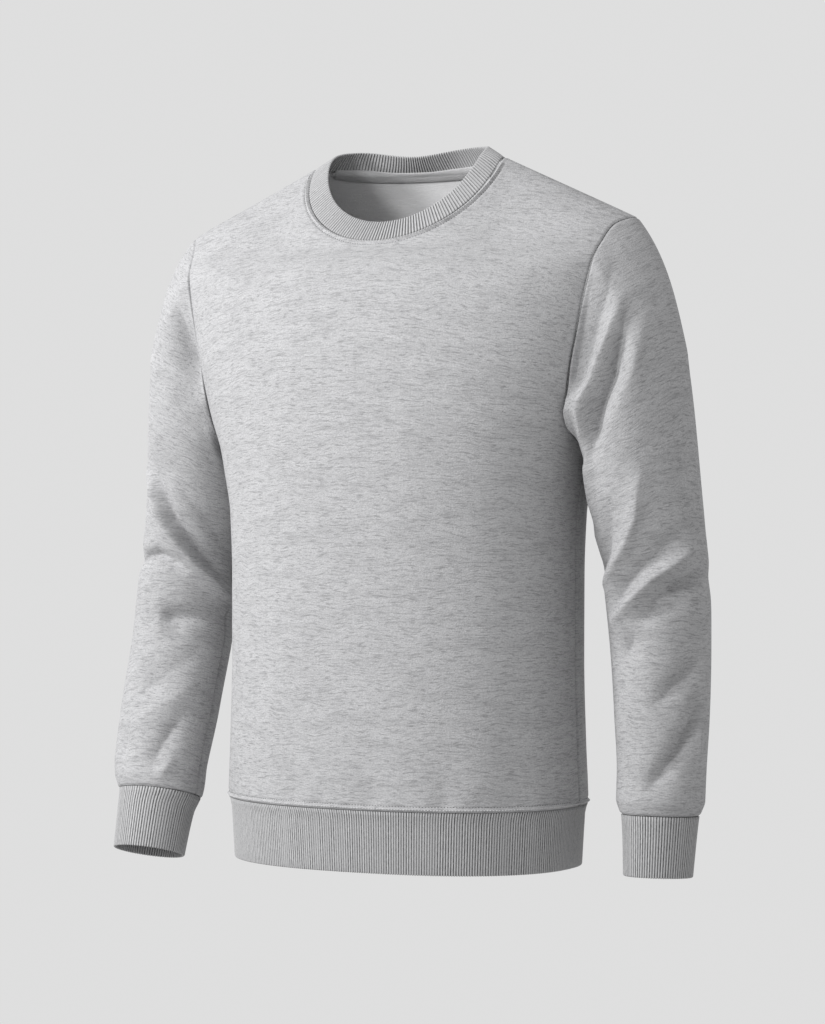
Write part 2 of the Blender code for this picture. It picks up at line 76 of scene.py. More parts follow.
world = bpy.data.worlds.new("studio")
world.use_nodes = True
world.node_tree.nodes["Background"].inputs["Color"].default_value = WORLD_GREY
world.node_tree.nodes["Background"].inputs["Strength"].default_value = 1.0
bpy.context.scene.world = world

for name, azimuth, height, distance, size, watts in LAMPS:
    turn = math.radians(azimuth)
    lamp = link(bpy.data.objects.new(name, bpy.data.lights.new(name, "AREA")))
    lamp.data.energy = watts
    lamp.data.shape = "DISK"
    lamp.data.size = size
    lamp.location = LOOK_AT + Vector((math.sin(turn) * distance, -math.cos(turn) * distance, height))
    lamp.rotation_euler = (lamp.location - LOOK_AT).to_track_quat("Z", "Y").to_euler()

floor_bm = bmesh.new()
bmesh.ops.create_circle(floor_bm, cap_ends=True, segments=96, radius=FLOOR_RADIUS)
bmesh.ops.translate(floor_bm, verts=floor_bm.verts, vec=(0, 0, LOOK_AT.z - FLOOR_DROP))
floor_mesh = bpy.data.meshes.new("floor")
floor_bm.to_mesh(floor_mesh)
floor_bm.free()
floor = link(bpy.data.objects.new("floor", floor_mesh))
floor_paint = bpy.data.materials.new("pale_floor")
floor_paint.use_nodes = True
floor_paint.node_tree.nodes["Principled BSDF"].inputs["Base Color"].default_value = FLOOR_GREY
floor_paint.node_tree.nodes["Principled BSDF"].inputs["Roughness"].default_value = 0.9
floor_mesh.materials.append(floor_paint)

# ---------------------------------------------------------------- front panel
# The front is one piece of brushed-back fleece, knitted from a pale grey melange yarn with short dark and
# light streaks along its courses. It runs from the waistband to the shoulder seams and the scooped neck,
# stands off the chest and falls in a few soft folds.
FLEECE_WALL = 0.0020
FLEECE_GREY = (0.385, 0.385, 0.392, 1)
FLECK_DARK = (0.170, 0.170, 0.174, 1)
FLECK_PALE = (0.470, 0.470, 0.476, 1)
BACK_GREYS = ((0.62, 0.62, 0.626, 1), (0.50, 0.50, 0.505, 1), (0.70, 0.70, 0.706, 1))
BACK_CONTRAST = 0.5
CLOTH_ROUGHNESS, CLOTH_SHEEN = 0.95, 0.05
WANDER_REACH, WANDER_STEP = 0.030, 0.0042
NAP_FINENESS, NAP_DETAIL = 700.0, 2.0
COURSE_STREAKS = (0.0060, 0.0016, 2.0, 2.3)
NAP_STRENGTH, NAP_HEIGHT = 0.5, 0.0006
BAR_SHADE = 0.90
FLECKS = (
    # layer, length, height, detail, seed, low, high, colour, strength
    ("broad bars", 0.0550, 0.0120, 2, 3.1, 0.36, 0.66, "shaded", 1.00),
    ("long pale streaks", 0.0200, 0.0024, 4, 19.9, 0.50, 0.68, "pale", 0.32),
    ("long dark streaks", 0.0180, 0.0022, 4, 7.7, 0.52, 0.64, "dark", 0.40),
    ("short pale streaks", 0.0060, 0.0013, 3, 29.5, 0.53, 0.68, "pale", 0.32),
    ("short dark streaks", 0.0085, 0.0013, 3, 11.3, 0.53, 0.65, "dark", 0.62),
    ("yarn grain", 0.0019, 0.0011, 1, 41.1, 0.32, 0.68, "dark", 0.34),
)


def cloth_material(name, base, roughness, sheen):
    """A new Principled material and its node tree, with a matt, softly sheened cloth shader."""
    material = bpy.data.materials.new(name)
    material.use_nodes = True
    tree = material.node_tree
    shader = tree.nodes["Principled BSDF"]
    shader.inputs["Base Color"].default_value = base
    shader.inputs["Roughness"].default_value = roughness
    shader.inputs["Specular IOR Level"].default_value = 0.2
    shader.inputs["Sheen Weight"].default_value = sheen
    shader.inputs["Sheen Roughness"].default_value = 0.5
    return material, tree, shader


def add_node(tree, kind, **values):
    """A node with its settings and unlinked sockets filled in by name."""
    node = tree.nodes.new(kind)
    for key, value in values.items():
        if hasattr(node, key):
            setattr(node, key, value)
        else:
            node.inputs[key.replace("_", " ")].default_value = value
    return node


def streaks(tree, source, across, along, detail, seed):
    """A noise stretched along the courses: streaks of the given length and height in metres."""
    mapping = add_node(tree, "ShaderNodeMapping")
    mapping.inputs["Scale"].default_value = (1 / across, 1 / along, 1)
    mapping.inputs["Location"].default_value = (seed, seed * 1.7, 0)
    noise = add_node(tree, "ShaderNodeTexNoise", Scale=1.0, Detail=detail, Roughness=0.55, Distortion=0.25)
    tree.links.new(source, mapping.inputs["Vector"])
    tree.links.new(mapping.outputs["Vector"], noise.inputs["Vector"])
    return noise.outputs["Fac"]


def ramp(tree, source, low, high):
    """The source's values between low and high, spread over 0 to 1."""
    node = add_node(tree, "ShaderNodeMapRange", clamp=True)
    node.interpolation_type = "SMOOTHSTEP"
    node.inputs["From Min"].default_value = low
    node.inputs["From Max"].default_value = high
    tree.links.new(source, node.inputs["Value"])
    return node.outputs["Result"]


def patches(tree, source, across, along, detail, seed, low, high):
    """Streaks with clearer edges, where the noise's values between low and high are spread over 0 to 1."""
    return ramp(tree, streaks(tree, source, across, along, detail, seed), low, high)


def arithmetic(tree, operation, *terms):
    """The value of a sum or product whose terms are each a socket or a number."""
    node = add_node(tree, "ShaderNodeMath", operation=operation)
    for term, socket in zip(terms, node.inputs):
        if isinstance(term, (int, float)):
            socket.default_value = term
        else:
            tree.links.new(term, socket)
    return node.outputs["Value"]


def blend_colours(tree, factor, first, second, strength=1.0):
    """A mix of two colours, each a socket or a constant, by a factor socket."""
    mix = add_node(tree, "ShaderNodeMix", data_type="RGBA")
    tree.links.new(arithmetic(tree, "MULTIPLY", factor, strength), mix.inputs["Factor"])
    for value, socket in ((first, mix.inputs["A"]), (second, mix.inputs["B"])):
        sockets = [s for s in mix.inputs if s.name == socket.name and s.type == "RGBA"]
        if isinstance(value, tuple):
            sockets[0].default_value = value
        else:
            tree.links.new(value, sockets[0])
    return [s for s in mix.outputs if s.type == "RGBA"][0]


def wandering(tree, place, reach, step):
    """Places on the cloth, shifted a little so that what is drawn there wanders off its course."""
    noise = add_node(tree, "ShaderNodeTexNoise", Scale=1 / reach, Detail=1.0)
    tree.links.new(place, noise.inputs["Vector"])
    shift = add_node(tree, "ShaderNodeVectorMath", operation="MULTIPLY_ADD")
    shift.inputs[1].default_value = (step, 2 * step, 0)
    tree.links.new(noise.outputs["Color"], shift.inputs[0])
    tree.links.new(place, shift.inputs[2])
    return shift.outputs["Vector"]


def roughen(tree, shader, height, strength, distance):
    """A bump on the shader from a height socket."""
    bump = add_node(tree, "ShaderNodeBump", Strength=strength, Distance=distance)
    tree.links.new(height, bump.inputs["Height"])
    tree.links.new(bump.outputs["Normal"], shader.inputs["Normal"])


def heather(name, base, dark, pale, contrast=1.0):
    """Melange fleece: broad soft bars, dark and pale streaks that wander along the courses, and a nap."""
    material, tree, shader = cloth_material(name, base, CLOTH_ROUGHNESS, CLOTH_SHEEN)
    place = add_node(tree, "ShaderNodeUVMap").outputs["UV"]
    course = wandering(tree, place, WANDER_REACH, WANDER_STEP)
    colours = {"dark": dark, "pale": pale, "shaded": tuple(BAR_SHADE * c for c in base[:3]) + (1,)}
    colour = base
    for layer, *noise, tint, strength in FLECKS:
        shown = patches(tree, place if layer == "yarn grain" else course, *noise)
        colour = blend_colours(tree, shown, colour, colours[tint], strength * contrast)
    tree.links.new(colour, shader.inputs["Base Color"])
    nap = add_node(tree, "ShaderNodeTexNoise", Scale=NAP_FINENESS, Detail=NAP_DETAIL)
    tree.links.new(place, nap.inputs["Vector"])
    courses = streaks(tree, course, *COURSE_STREAKS)
    roughen(tree, shader, arithmetic(tree, "ADD", nap.outputs["Fac"], courses), NAP_STRENGTH, NAP_HEIGHT)
    return material


fleece = heather("heather_fleece", FLEECE_GREY, FLECK_DARK, FLECK_PALE)
fleece_back = heather("brushed_back", *BACK_GREYS, BACK_CONTRAST)

HEM_SEAM_Z = -0.616
UNDERARM_Z = -0.275
TIP_X, TIP_DROP = 0.2375, 0.063
NECK_HALF = 0.1020
FRONT_NECK_DROP = 0.0805
BACK_NECK_DROP = 0.004
SECTION_POWER = 2.3
# How far down the shoulder rounds off and how squarely, beside the neck in front and behind, and at the tip.
FRONT_SHOULDER = (0.134, 0.75)
BACK_SHOULDER = (0.100, 0.50)
SHOULDER_TIP = (0.050, 0.50)

TORSO_COLUMNS = ("z", "half", "front", "back")
TORSO = (
    (-0.690, 0.176, 0.126, 0.101),
    (-0.616, 0.181, 0.131, 0.105),
    (-0.560, 0.179, 0.131, 0.103),
    (-0.480, 0.177, 0.130, 0.102),
    (-0.400, 0.177, 0.130, 0.104),
    (-0.340, 0.179, 0.131, 0.108),
    (-0.300, 0.186, 0.131, 0.112),
    (-0.275, 0.1915, 0.131, 0.114),
    (-0.250, 0.2010, 0.130, 0.114),
    (-0.210, 0.2135, 0.127, 0.114),
    (-0.165, 0.2270, 0.119, 0.110),
    (-0.110, 0.2450, 0.100, 0.098),
    (-0.080, 0.2560, 0.0730, 0.086),
    (-0.030, 0.2650, 0.0590, 0.080),
    (0.030, 0.2700, 0.0520, 0.080),
)
ARMHOLE_COLUMNS = ("share", "x", "z")
ARMHOLE = (
    (0.00, 0.1915, UNDERARM_Z),
    (0.15, 0.1905, -0.257),
    (0.30, 0.1940, -0.222),
    (0.50, 0.2035, -0.172),
    (0.70, 0.2135, -0.122),
    (0.84, 0.2205, -0.089),
    (0.94, 0.2270, -0.071),
    (1.00, TIP_X, -TIP_DROP),
)


def curve(table, column, at, name):
    """The named column of a table at places along its first column, as a smooth line through its rows."""
    rows = np.array(table, float)
    rows = rows[np.argsort(rows[:, 0])]
    where, values = rows[:, 0], rows[:, column.index(name)]
    steps = np.diff(values) / np.diff(where)
    slopes = np.zeros_like(values)
    same_way = steps[:-1] * steps[1:] > 0
    safe_sum = np.where(same_way, steps[:-1] + steps[1:], 1.0)
    slopes[1:-1] = np.where(same_way, 2 * steps[:-1] * steps[1:] / safe_sum, 0.0)
    slopes[0], slopes[-1] = steps[0], steps[-1]
    at = np.clip(at, where[0], where[-1])
    i = np.clip(np.searchsorted(where, at, side="right") - 1, 0, len(where) - 2)
    span = where[i + 1] - where[i]
    t = (at - where[i]) / span
    start = (1 + 2 * t) * (1 - t) ** 2 * values[i] + t * (1 - t) ** 2 * span * slopes[i]
    end = t**2 * (3 - 2 * t) * values[i + 1] + t**2 * (t - 1) * span * slopes[i + 1]
    return start + end


def smooth_step(value):
    """A soft step from 0 to 1 while the value goes from 0 to 1."""
    value = np.clip(value, 0, 1)
    return value * value * (3 - 2 * value)


def unit(vectors):
    """The directions of vectors."""
    return vectors / np.maximum(np.linalg.norm(vectors, axis=-1, keepdims=True), 1e-12)


def depth_of(x, z, side):
    """How far the cloth stands in front of (side -1) or behind (side 1) the side seams, at x and z."""
    half = curve(TORSO, TORSO_COLUMNS, z, "half")
    reach = curve(TORSO, TORSO_COLUMNS, z, "front" if side < 0 else "back")
    across = np.clip(np.abs(x) / half, 0, 1)
    section = (1 - across**SECTION_POWER) ** (1 / SECTION_POWER)
    out = np.clip((np.abs(x) - NECK_HALF) / (TIP_X - NECK_HALF), 0, 1)
    inside = np.clip(1 - (np.abs(x) / NECK_HALF) ** 2, 0, 1)
    slope = TIP_DROP / (TIP_X - NECK_HALF)
    ridge = slope * NECK_HALF * inside / 2 - TIP_DROP * out
    out = smooth_step(out)
    near_neck = FRONT_SHOULDER if side < 0 else BACK_SHOULDER
    radius = near_neck[0] * (1 - out) + SHOULDER_TIP[0] * out
    power = near_neck[1] * (1 - out) + SHOULDER_TIP[1] * out
    below = np.clip((ridge - z) / radius, 0, 1)
    return side * reach * section * (1 - (1 - below) ** 2) ** power


SIDE_SHARES = np.concatenate([np.linspace(0, 0.04, 15), np.linspace(0.04, 1, 105)[1:]])
ARMHOLE_SHARES = np.concatenate([np.linspace(0, 0.94, 83), np.linspace(0.94, 1, 15)[1:]])[1:]
FIRST_ARMHOLE_ROW = len(SIDE_SHARES) - 1
SHOULDER_COLUMNS, FRONT_NECK_COLUMNS, BACK_NECK_COLUMNS = 40, 88, 72
SHOULDER_CROWDING = ((0, 0), (0.2, 0.05), (0.75, 0.93), (1, 1))
CORNER_TURN, TIP_TURN = 33, -14


def panel(side, neck_columns, neck_drop):
    """A panel's points in rows from the hem up: straight to the underarm, then curving to the top seams."""
    along = np.interp(np.linspace(0, 1, SHOULDER_COLUMNS + 1), *np.transpose(SHOULDER_CROWDING))
    shoulder_x = TIP_X + (NECK_HALF - TIP_X) * along
    shoulder_z = -TIP_DROP * (1 - along)
    fine = np.linspace(0, np.pi, 400)
    scoop = np.stack([-NECK_HALF * np.cos(fine), -neck_drop * np.sin(fine)], axis=-1)
    travelled = np.insert(np.cumsum(np.linalg.norm(np.diff(scoop, axis=0), axis=1)), 0, 0)
    at = np.linspace(0, travelled[-1], neck_columns + 1)[1:-1]
    top_x = np.concatenate([-shoulder_x, np.interp(at, travelled, scoop[:, 0]), shoulder_x[::-1]])
    top_z = np.concatenate([shoulder_z, np.interp(at, travelled, scoop[:, 1]), shoulder_z[::-1]])
    level = NECK_HALF / TIP_X * np.linspace(-1, 1, neck_columns + 1)
    across = np.concatenate([-shoulder_x / TIP_X, level[1:-1], shoulder_x[::-1] / TIP_X])
    spread = np.sign(across) * np.sin(np.abs(across) * np.pi / 2) ** (2 / SECTION_POWER)
    side_z = HEM_SEAM_Z + (UNDERARM_Z - HEM_SEAM_Z) * SIDE_SHARES
    x = spread * curve(TORSO, TORSO_COLUMNS, side_z, "half")[:, None]
    z = np.broadcast_to(side_z[:, None], x.shape)

    # Above the underarm each column runs up to the top seams and meets them turned outwards beside the neck.
    inner = np.clip(np.abs(across) * TIP_X / NECK_HALF, 0, 1)
    outer = np.clip((np.abs(across) - NECK_HALF / TIP_X) / (1 - NECK_HALF / TIP_X), 0, 1)
    turn = np.radians(CORNER_TURN * inner + (TIP_TURN - CORNER_TURN) * smooth_step(outer)) * np.sign(across)
    reach = 0.5 * np.hypot(top_x - x[-1], top_z - UNDERARM_Z)
    t = ARMHOLE_SHARES[:, None]
    h00, h10, h01, h11 = 2 * t**3 - 3 * t**2 + 1, t**3 - 2 * t**2 + t, 3 * t**2 - 2 * t**3, t**3 - t**2
    high_x = h00 * x[-1] + h01 * top_x - h11 * reach * np.sin(turn)
    high_z = h00 * UNDERARM_Z + h10 * 2 * reach + h01 * top_z + h11 * reach * np.cos(turn)
    seam_x = curve(ARMHOLE, ARMHOLE_COLUMNS, t, "x")
    seam_z = curve(ARMHOLE, ARMHOLE_COLUMNS, t, "z")
    high_x = high_x + outer**2 * np.sign(across) * (seam_x - high_x[:, -1:])
    high_z = high_z + outer**2 * (seam_z - high_z[:, -1:])
    x, z = np.concatenate([x, high_x]), np.concatenate([z, high_z])
    return np.stack([x, depth_of(x, z, side), z], axis=-1)


def panel_normals(points, side):
    """The cloth's outward directions, from how its depth changes to either side, above and below."""
    step = 0.0005
    x, z = points[..., 0], points[..., 2]
    slope_x = (depth_of(x + step, z, side) - depth_of(x - step, z, side)) / (2 * step)
    slope_z = (depth_of(x, z + step, side) - depth_of(x, z - step, side)) / (2 * step)
    return unit(np.stack([-side * slope_x, np.full_like(x, side), -side * slope_z], axis=-1))


def lengths(points, axis):
    """How far along the cloth each point lies from the grid's first row or column."""
    steps = np.linalg.norm(np.diff(points, axis=axis), axis=-1)
    return np.insert(np.cumsum(steps, axis=axis), 0, 0, axis=axis)


def cloth_mesh(name, points, metres, weld):
    """A mesh from a grid: its vertices go to the points, and its UV map is in metres of cloth."""
    rows, columns = points.shape[:2]
    work = bmesh.new()
    bmesh.ops.create_grid(work, x_segments=columns - 1, y_segments=rows - 1, size=1)
    uv = work.loops.layers.uv.new("cut")
    place = {}
    for vert in work.verts:
        i = round((vert.co.y + 1) / 2 * (rows - 1))
        j = round((vert.co.x + 1) / 2 * (columns - 1))
        place[vert] = (i, j)
    for face in work.faces:
        for loop in face.loops:
            loop[uv].uv = metres[place[loop.vert]]
    for vert, where in place.items():
        vert.co = points[where]
    if weld:
        bmesh.ops.remove_doubles(work, verts=work.verts, dist=1e-5)
    mesh = bpy.data.meshes.new(name)
    work.to_mesh(mesh)
    work.free()
    mesh.shade_smooth()
    return link(bpy.data.objects.new(name, mesh))


def fleece_piece(name, node, points, metres, ring):
    """A piece of fleece: the heather face outside, the brushed back inside, and the wall between them."""
    piece = cloth_mesh(name, points, metres, ring)
    piece.data.materials.append(fleece)
    piece.data.materials.append(fleece_back)
    wall = piece.modifiers.new("wall", "SOLIDIFY")
    wall.thickness = FLEECE_WALL
    wall.offset = -1
    wall.material_offset = 1
    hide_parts(node)
    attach(piece, "root")
    return piece


DRAPE_COLUMNS = ("x", "z_top", "width", "height")
FRONT_DRAPES = (
    (-0.062, -0.47, 0.016, -0.0022),
    (0.026, -0.49, 0.017, -0.0020),
    (0.096, -0.50, 0.016, -0.0022),
    (0.150, -0.46, 0.014, -0.0020),
)
FRONT_GATHERS = (
    (-0.085, -0.590, 0.007, -0.0008),
    (-0.060, -0.575, 0.008, -0.0014),
    (-0.027, -0.585, 0.006, -0.0012),
    (0.002, -0.592, 0.006, 0.0006),
    (0.026, -0.580, 0.007, -0.0012),
    (0.060, -0.585, 0.006, -0.0013),
    (0.078, -0.592, 0.006, 0.0006),
    (0.096, -0.580, 0.007, -0.0012),
    (0.128, -0.585, 0.006, -0.0011),
    (0.155, -0.580, 0.007, -0.0013),
)
SEAM_HOLD = 0.009
# Seams and the grooves of stitches are given by their depth and half width, and the welt by its distance
# from the edge, its height and its half width.
BODY_SEAM = (0.0011, 0.0012)
SIDE_SEAM_Z, SIDE_SEAM_BLEND, SIDE_SEAM_EXTRA = -0.21, 0.05, 0.0024
EDGE_SEAM = (0.0010, 0.0009)
WELT = (0.0024, 0.0010, 0.0014)
WELT_FADE = 0.025
STITCH_LINE = 0.0050
STITCH_GROOVE = (0.0009, 0.0009)
LEVEL_COURSES_Z, COURSES_TURN, COURSES_SAG = -0.45, 0.30, 0.6


def drape_height(points, drapes):
    """Long soft folds that deepen towards the hem and end just over the seam that holds them."""
    lift = np.zeros(points.shape[:-1])
    free = smooth_step((points[..., 2] - HEM_SEAM_Z) / SEAM_HOLD)
    for row in drapes:
        drape = dict(zip(DRAPE_COLUMNS, row))
        reach = free * smooth_step((drape["z_top"] - points[..., 2]) / (drape["z_top"] - HEM_SEAM_Z))
        lift += drape["height"] * reach * np.exp(-(((points[..., 0] - drape["x"]) / drape["width"]) ** 2))
    return lift


def distance_to(points, line):
    """How far each point of a grid lies from a line of points."""
    best = np.full(points.shape[:-1], np.inf)
    for start, end in zip(line[:-1], line[1:]):
        step = end - start
        share = np.clip(((points - start) @ step) / (step @ step), 0, 1)
        best = np.minimum(best, np.linalg.norm(points - start - share[..., None] * step, axis=-1))
    return best


def panel_seams(points):
    """How far each point of a panel lies from its plain seams, its neck seam and its hem seam."""
    corner = SHOULDER_COLUMNS
    plain = np.full(points.shape[:-1], np.inf)
    for line in (points[:, 0], points[:, -1], points[-1, : corner + 1], points[-1, -corner - 1 :]):
        plain = np.minimum(plain, distance_to(points, line))
    return plain, distance_to(points, points[-1, corner:-corner]), lengths(points, 0)


def bell(distance, reach):
    """1 on a line, falling softly to a third at the given distance and to nothing at twice that."""
    return np.exp(-((distance / reach) ** 2))


def panel_relief(points):
    """The dips at a panel's seams, and the rolled welt and groove of stitches by its neck and hem."""
    plain, neck, hem = panel_seams(points)
    deep = BODY_SEAM[0] + SIDE_SEAM_EXTRA * smooth_step((SIDE_SEAM_Z - points[..., 2]) / SIDE_SEAM_BLEND)
    lift = -deep * bell(plain, BODY_SEAM[1])
    full = smooth_step(plain / WELT_FADE)
    for edge in (neck, hem):
        lift = lift - EDGE_SEAM[0] * bell(edge, EDGE_SEAM[1])
        lift = lift + WELT[1] * full * bell(edge - WELT[0], WELT[2])
        lift = lift - STITCH_GROOVE[0] * full * bell(edge - STITCH_LINE, STITCH_GROOVE[1])
    return lift


def turning(z):
    """How far the courses have turned off the level at height z: 0 at the waist, 1 at the shoulder."""
    return smooth_step((z - LEVEL_COURSES_Z) / COURSES_TURN)


def grain(points):
    """A panel's map in metres, its courses level at the waist and curved across the chest."""
    corner = SHOULDER_COLUMNS
    up = np.interp(points[..., 2], points[:, corner, 2], lengths(points, 0)[:, corner])
    across = lengths(points, 1)
    sag = COURSES_SAG * turning(points[..., 2]) * points[..., 0] ** 2
    return np.stack([across - across[:, -1:] / 2, up + sag], axis=-1)


front = panel(-1, FRONT_NECK_COLUMNS, FRONT_NECK_DROP)
front_normals = panel_normals(front, -1)
front_lift = drape_height(front, FRONT_DRAPES + FRONT_GATHERS) + panel_relief(front)
front_shape = front + front_normals * front_lift[..., None]
fleece_piece("front_panel", "front", front_shape, grain(front), False)

# ---------------------------------------------------------------- back panel
# The back is cut like the front, from the same fleece, with a high and almost straight neck. It falls from
# the shoulder blades in long soft folds.
BACK_DRAPES = (
    (-0.110, -0.40, 0.018, -0.0030),
    (-0.030, -0.46, 0.018, -0.0024),
    (0.055, -0.42, 0.018, -0.0028),
    (0.130, -0.48, 0.016, -0.0022),
)
BACK_GATHERS = (
    (-0.135, -0.585, 0.007, -0.0012),
    (-0.088, -0.580, 0.007, -0.0014),
    (-0.052, -0.590, 0.006, -0.0010),
    (-0.008, -0.578, 0.007, -0.0013),
    (0.030, -0.588, 0.006, -0.0012),
    (0.086, -0.582, 0.007, -0.0013),
    (0.108, -0.590, 0.006, 0.0006),
    (0.152, -0.580, 0.007, -0.0012),
)
back = panel(1, BACK_NECK_COLUMNS, BACK_NECK_DROP)[:, ::-1]
back_normals = panel_normals(back, 1)
back_lift = drape_height(back, BACK_DRAPES + BACK_GATHERS) + panel_relief(back)
back_shape = back + back_normals * back_lift[..., None]
fleece_piece("back_panel", "back", back_shape, grain(back), False)

# ---------------------------------------------------------------- sleeves
# Each sleeve is one cut of the fleece, set into the armhole and closed with a seam under the arm. It bunches
# at the elbow, where the arm bends a little, and blouses over its cuff.
CUFF_SEAM_DROP = 0.620
CAP_FULLNESS = 1.0
# How steeply the cap leaves the armhole under the arm and at the shoulder tip, in degrees below the level.
UNDERARM_SLOPE, TIP_SLOPE = 65, 48
CAP_SPLAY, CAP_FORWARD = 0.15, 0.15
CAP_ROWS, ARM_ROWS = 84, 150
CAP_GRAIN = {"left_sleeve": 0.85, "right_sleeve": 0.6}
ARM_SEAM = (0.0024, 0.0015)
SLEEVE_SEAM = (0.0017, 0.0015)
SLEEVE_COLUMNS = ("z", "x", "y", "half", "depth")
LEFT_SLEEVE = (
    (-0.315, 0.2410, 0.010, 0.0530, 0.064),
    (-0.350, 0.2455, 0.012, 0.0515, 0.061),
    (-0.400, 0.2535, 0.012, 0.0495, 0.056),
    (-0.460, 0.2585, 0.010, 0.0470, 0.050),
    (-0.530, 0.2625, 0.004, 0.0440, 0.046),
    (-0.585, 0.2640, -0.001, 0.0412, 0.043),
    (-0.606, 0.2640, -0.003, 0.0412, 0.042),
    (-0.620, 0.2640, -0.004, 0.0372, 0.037),
    (-0.680, 0.2625, -0.006, 0.0320, 0.033),
)
RIGHT_SLEEVE = (
    (-0.315, 0.2395, 0.010, 0.0525, 0.064),
    (-0.350, 0.2435, 0.011, 0.0520, 0.061),
    (-0.400, 0.2515, 0.009, 0.0515, 0.056),
    (-0.460, 0.2590, 0.005, 0.0505, 0.050),
    (-0.530, 0.2640, -0.010, 0.0500, 0.046),
    (-0.585, 0.2650, -0.027, 0.0475, 0.043),
    (-0.606, 0.2625, -0.034, 0.0460, 0.042),
    (-0.620, 0.2600, -0.038, 0.0428, 0.038),
    (-0.634, 0.2620, -0.042, 0.0395, 0.036),
    (-0.680, 0.2635, -0.054, 0.0358, 0.033),
)
# A fold is a line through its rows. Each row has a height, an angle round the sleeve (0 to the wearer's left
# and -90 to the front), and how wide the fold is there and how high or, if negative, how deep. Lengths are in
# millimetres.
FOLD_COLUMNS = ("z", "angle", "width", "height")
FOLD_UNITS = (0.001, 1, 0.001, 0.001)
FOLD_POWER = 1.4
CAP_FADE, CUFF_FADE = 0.008, 0.020
CAP_CROWDING, CUFF_CROWDING = 1.4, 1.3
SLOPE_STEP = 0.01
LEFT_FOLDS = {
    "shoulder ridge": (
        (-135, -62, 9, 0), (-157, -75, 7, 4), (-185, -86, 6, 9), (-217, -99, 6, 11), (-238, -110, 6, 11),
        (-265, -116, 7, 8), (-290, -125, 9, 0),
    ),
    "shoulder trough": (
        (-140, -54, 10, 0), (-157, -65, 8, -6), (-185, -74, 7, -12), (-215, -83, 7, -15),
        (-243, -98, 7, -17), (-268, -107, 8, -14), (-298, -117, 10, 0),
    ),
    "front bulge": (
        (-145, -42, 10, 0), (-175, -57, 8, 3), (-210, -69, 8, 4), (-240, -80, 11, 2), (-275, -93, 13, 0),
    ),
    "elbow edge": (
        (-292, -66, 9, 0), (-322, -74, 8, 6), (-346, -79, 8, 9), (-370, -91, 8, 11), (-391, -109, 8, 10),
        (-406, -134, 9, 4),
    ),
    "elbow hollow": (
        (-325, -98, 14, 0), (-350, -108, 14, -9), (-374, -126, 13, -11), (-392, -150, 13, -6),
    ),
    "forearm ridge": (
        (-366, -12, 9, 0), (-378, -36, 8, 10), (-399, -72, 8, 13), (-431, -108, 9, 11), (-446, -135, 12, 0),
    ),
    "elbow crease": (
        (-398, 40, 11, -1), (-403, 10, 9, -6), (-401, -22, 7, -12), (-409, -52, 7, -12), (-424, -78, 8, -3),
        (-430, -88, 8, 0),
    ),
    "lower crease": ((-418, -30, 7, 0), (-424, -48, 6, -6), (-430, -72, 6, -8), (-442, -98, 8, 0)),
    "overarm line": ((-150, 2, 8, 0), (-190, 6, 8, 2), (-256, 7, 9, 0)),
    "upper press line": ((-258, -24, 4, 0), (-306, -20, 4, 2), (-345, -10, 4, 2), (-386, 6, 5, 0)),
    "lower press line": ((-440, -5, 4, 0), (-490, -6, 4, 2), (-552, -12, 4, 2), (-600, -13, 5, 0)),
    "forearm dent": ((-446, -92, 10, 0), (-463, -106, 10, -9), (-488, -128, 12, 0)),
    "wrist trough": (
        (-500, -4, 9, 0), (-531, -22, 8, -10), (-557, -44, 8, -12), (-580, -70, 9, -9), (-598, -94, 10, 0),
    ),
    "back elbow ridge": ((-372, 35, 13, 0), (-392, 70, 12, 6), (-425, 125, 13, 4), (-445, 155, 14, 0)),
    "back elbow trough": (
        (-345, 165, 13, 0), (-368, 140, 13, -6), (-412, 95, 12, -6), (-432, 60, 13, 0),
    ),
    "back arm trough": ((-190, 130, 14, 0), (-235, 112, 14, -5), (-285, 80, 15, 0)),
    "back wrist trough": ((-490, 70, 14, 0), (-530, 105, 14, -3), (-570, 135, 14, 0)),
    "elbow valley": (
        (-355, -28, 10, 0), (-368, -48, 8, -5), (-392, -78, 8, -10), (-420, -113, 8, -10),
        (-433, -136, 10, 0),
    ),
    "underarm edge": (
        (-255, -108, 8, 0), (-280, -115, 7, 4), (-300, -120, 7, 6), (-330, -130, 7, 4), (-352, -138, 8, 0),
    ),
    "underarm hollow": (
        (-240, -134, 11, 0), (-265, -140, 11, -9), (-300, -146, 12, -11), (-330, -152, 12, -7),
        (-360, -160, 12, 0),
    ),
    "outer press line": ((-258, -2, 4, 0), (-306, 0, 4, 2), (-350, 6, 4, 2), (-386, 14, 5, 0)),
    "forearm shade": ((-472, -12, 10, 0), (-487, -34, 9, -10), (-502, -58, 9, -9), (-520, -84, 11, 0)),
    "armhole hollow": (
        (-105, -66, 9, 0), (-130, -74, 8, -5), (-157, -84, 8, -10), (-187, -93, 7, -13),
        (-215, -103, 6, -13), (-245, -113, 6, 0),
    ),
}
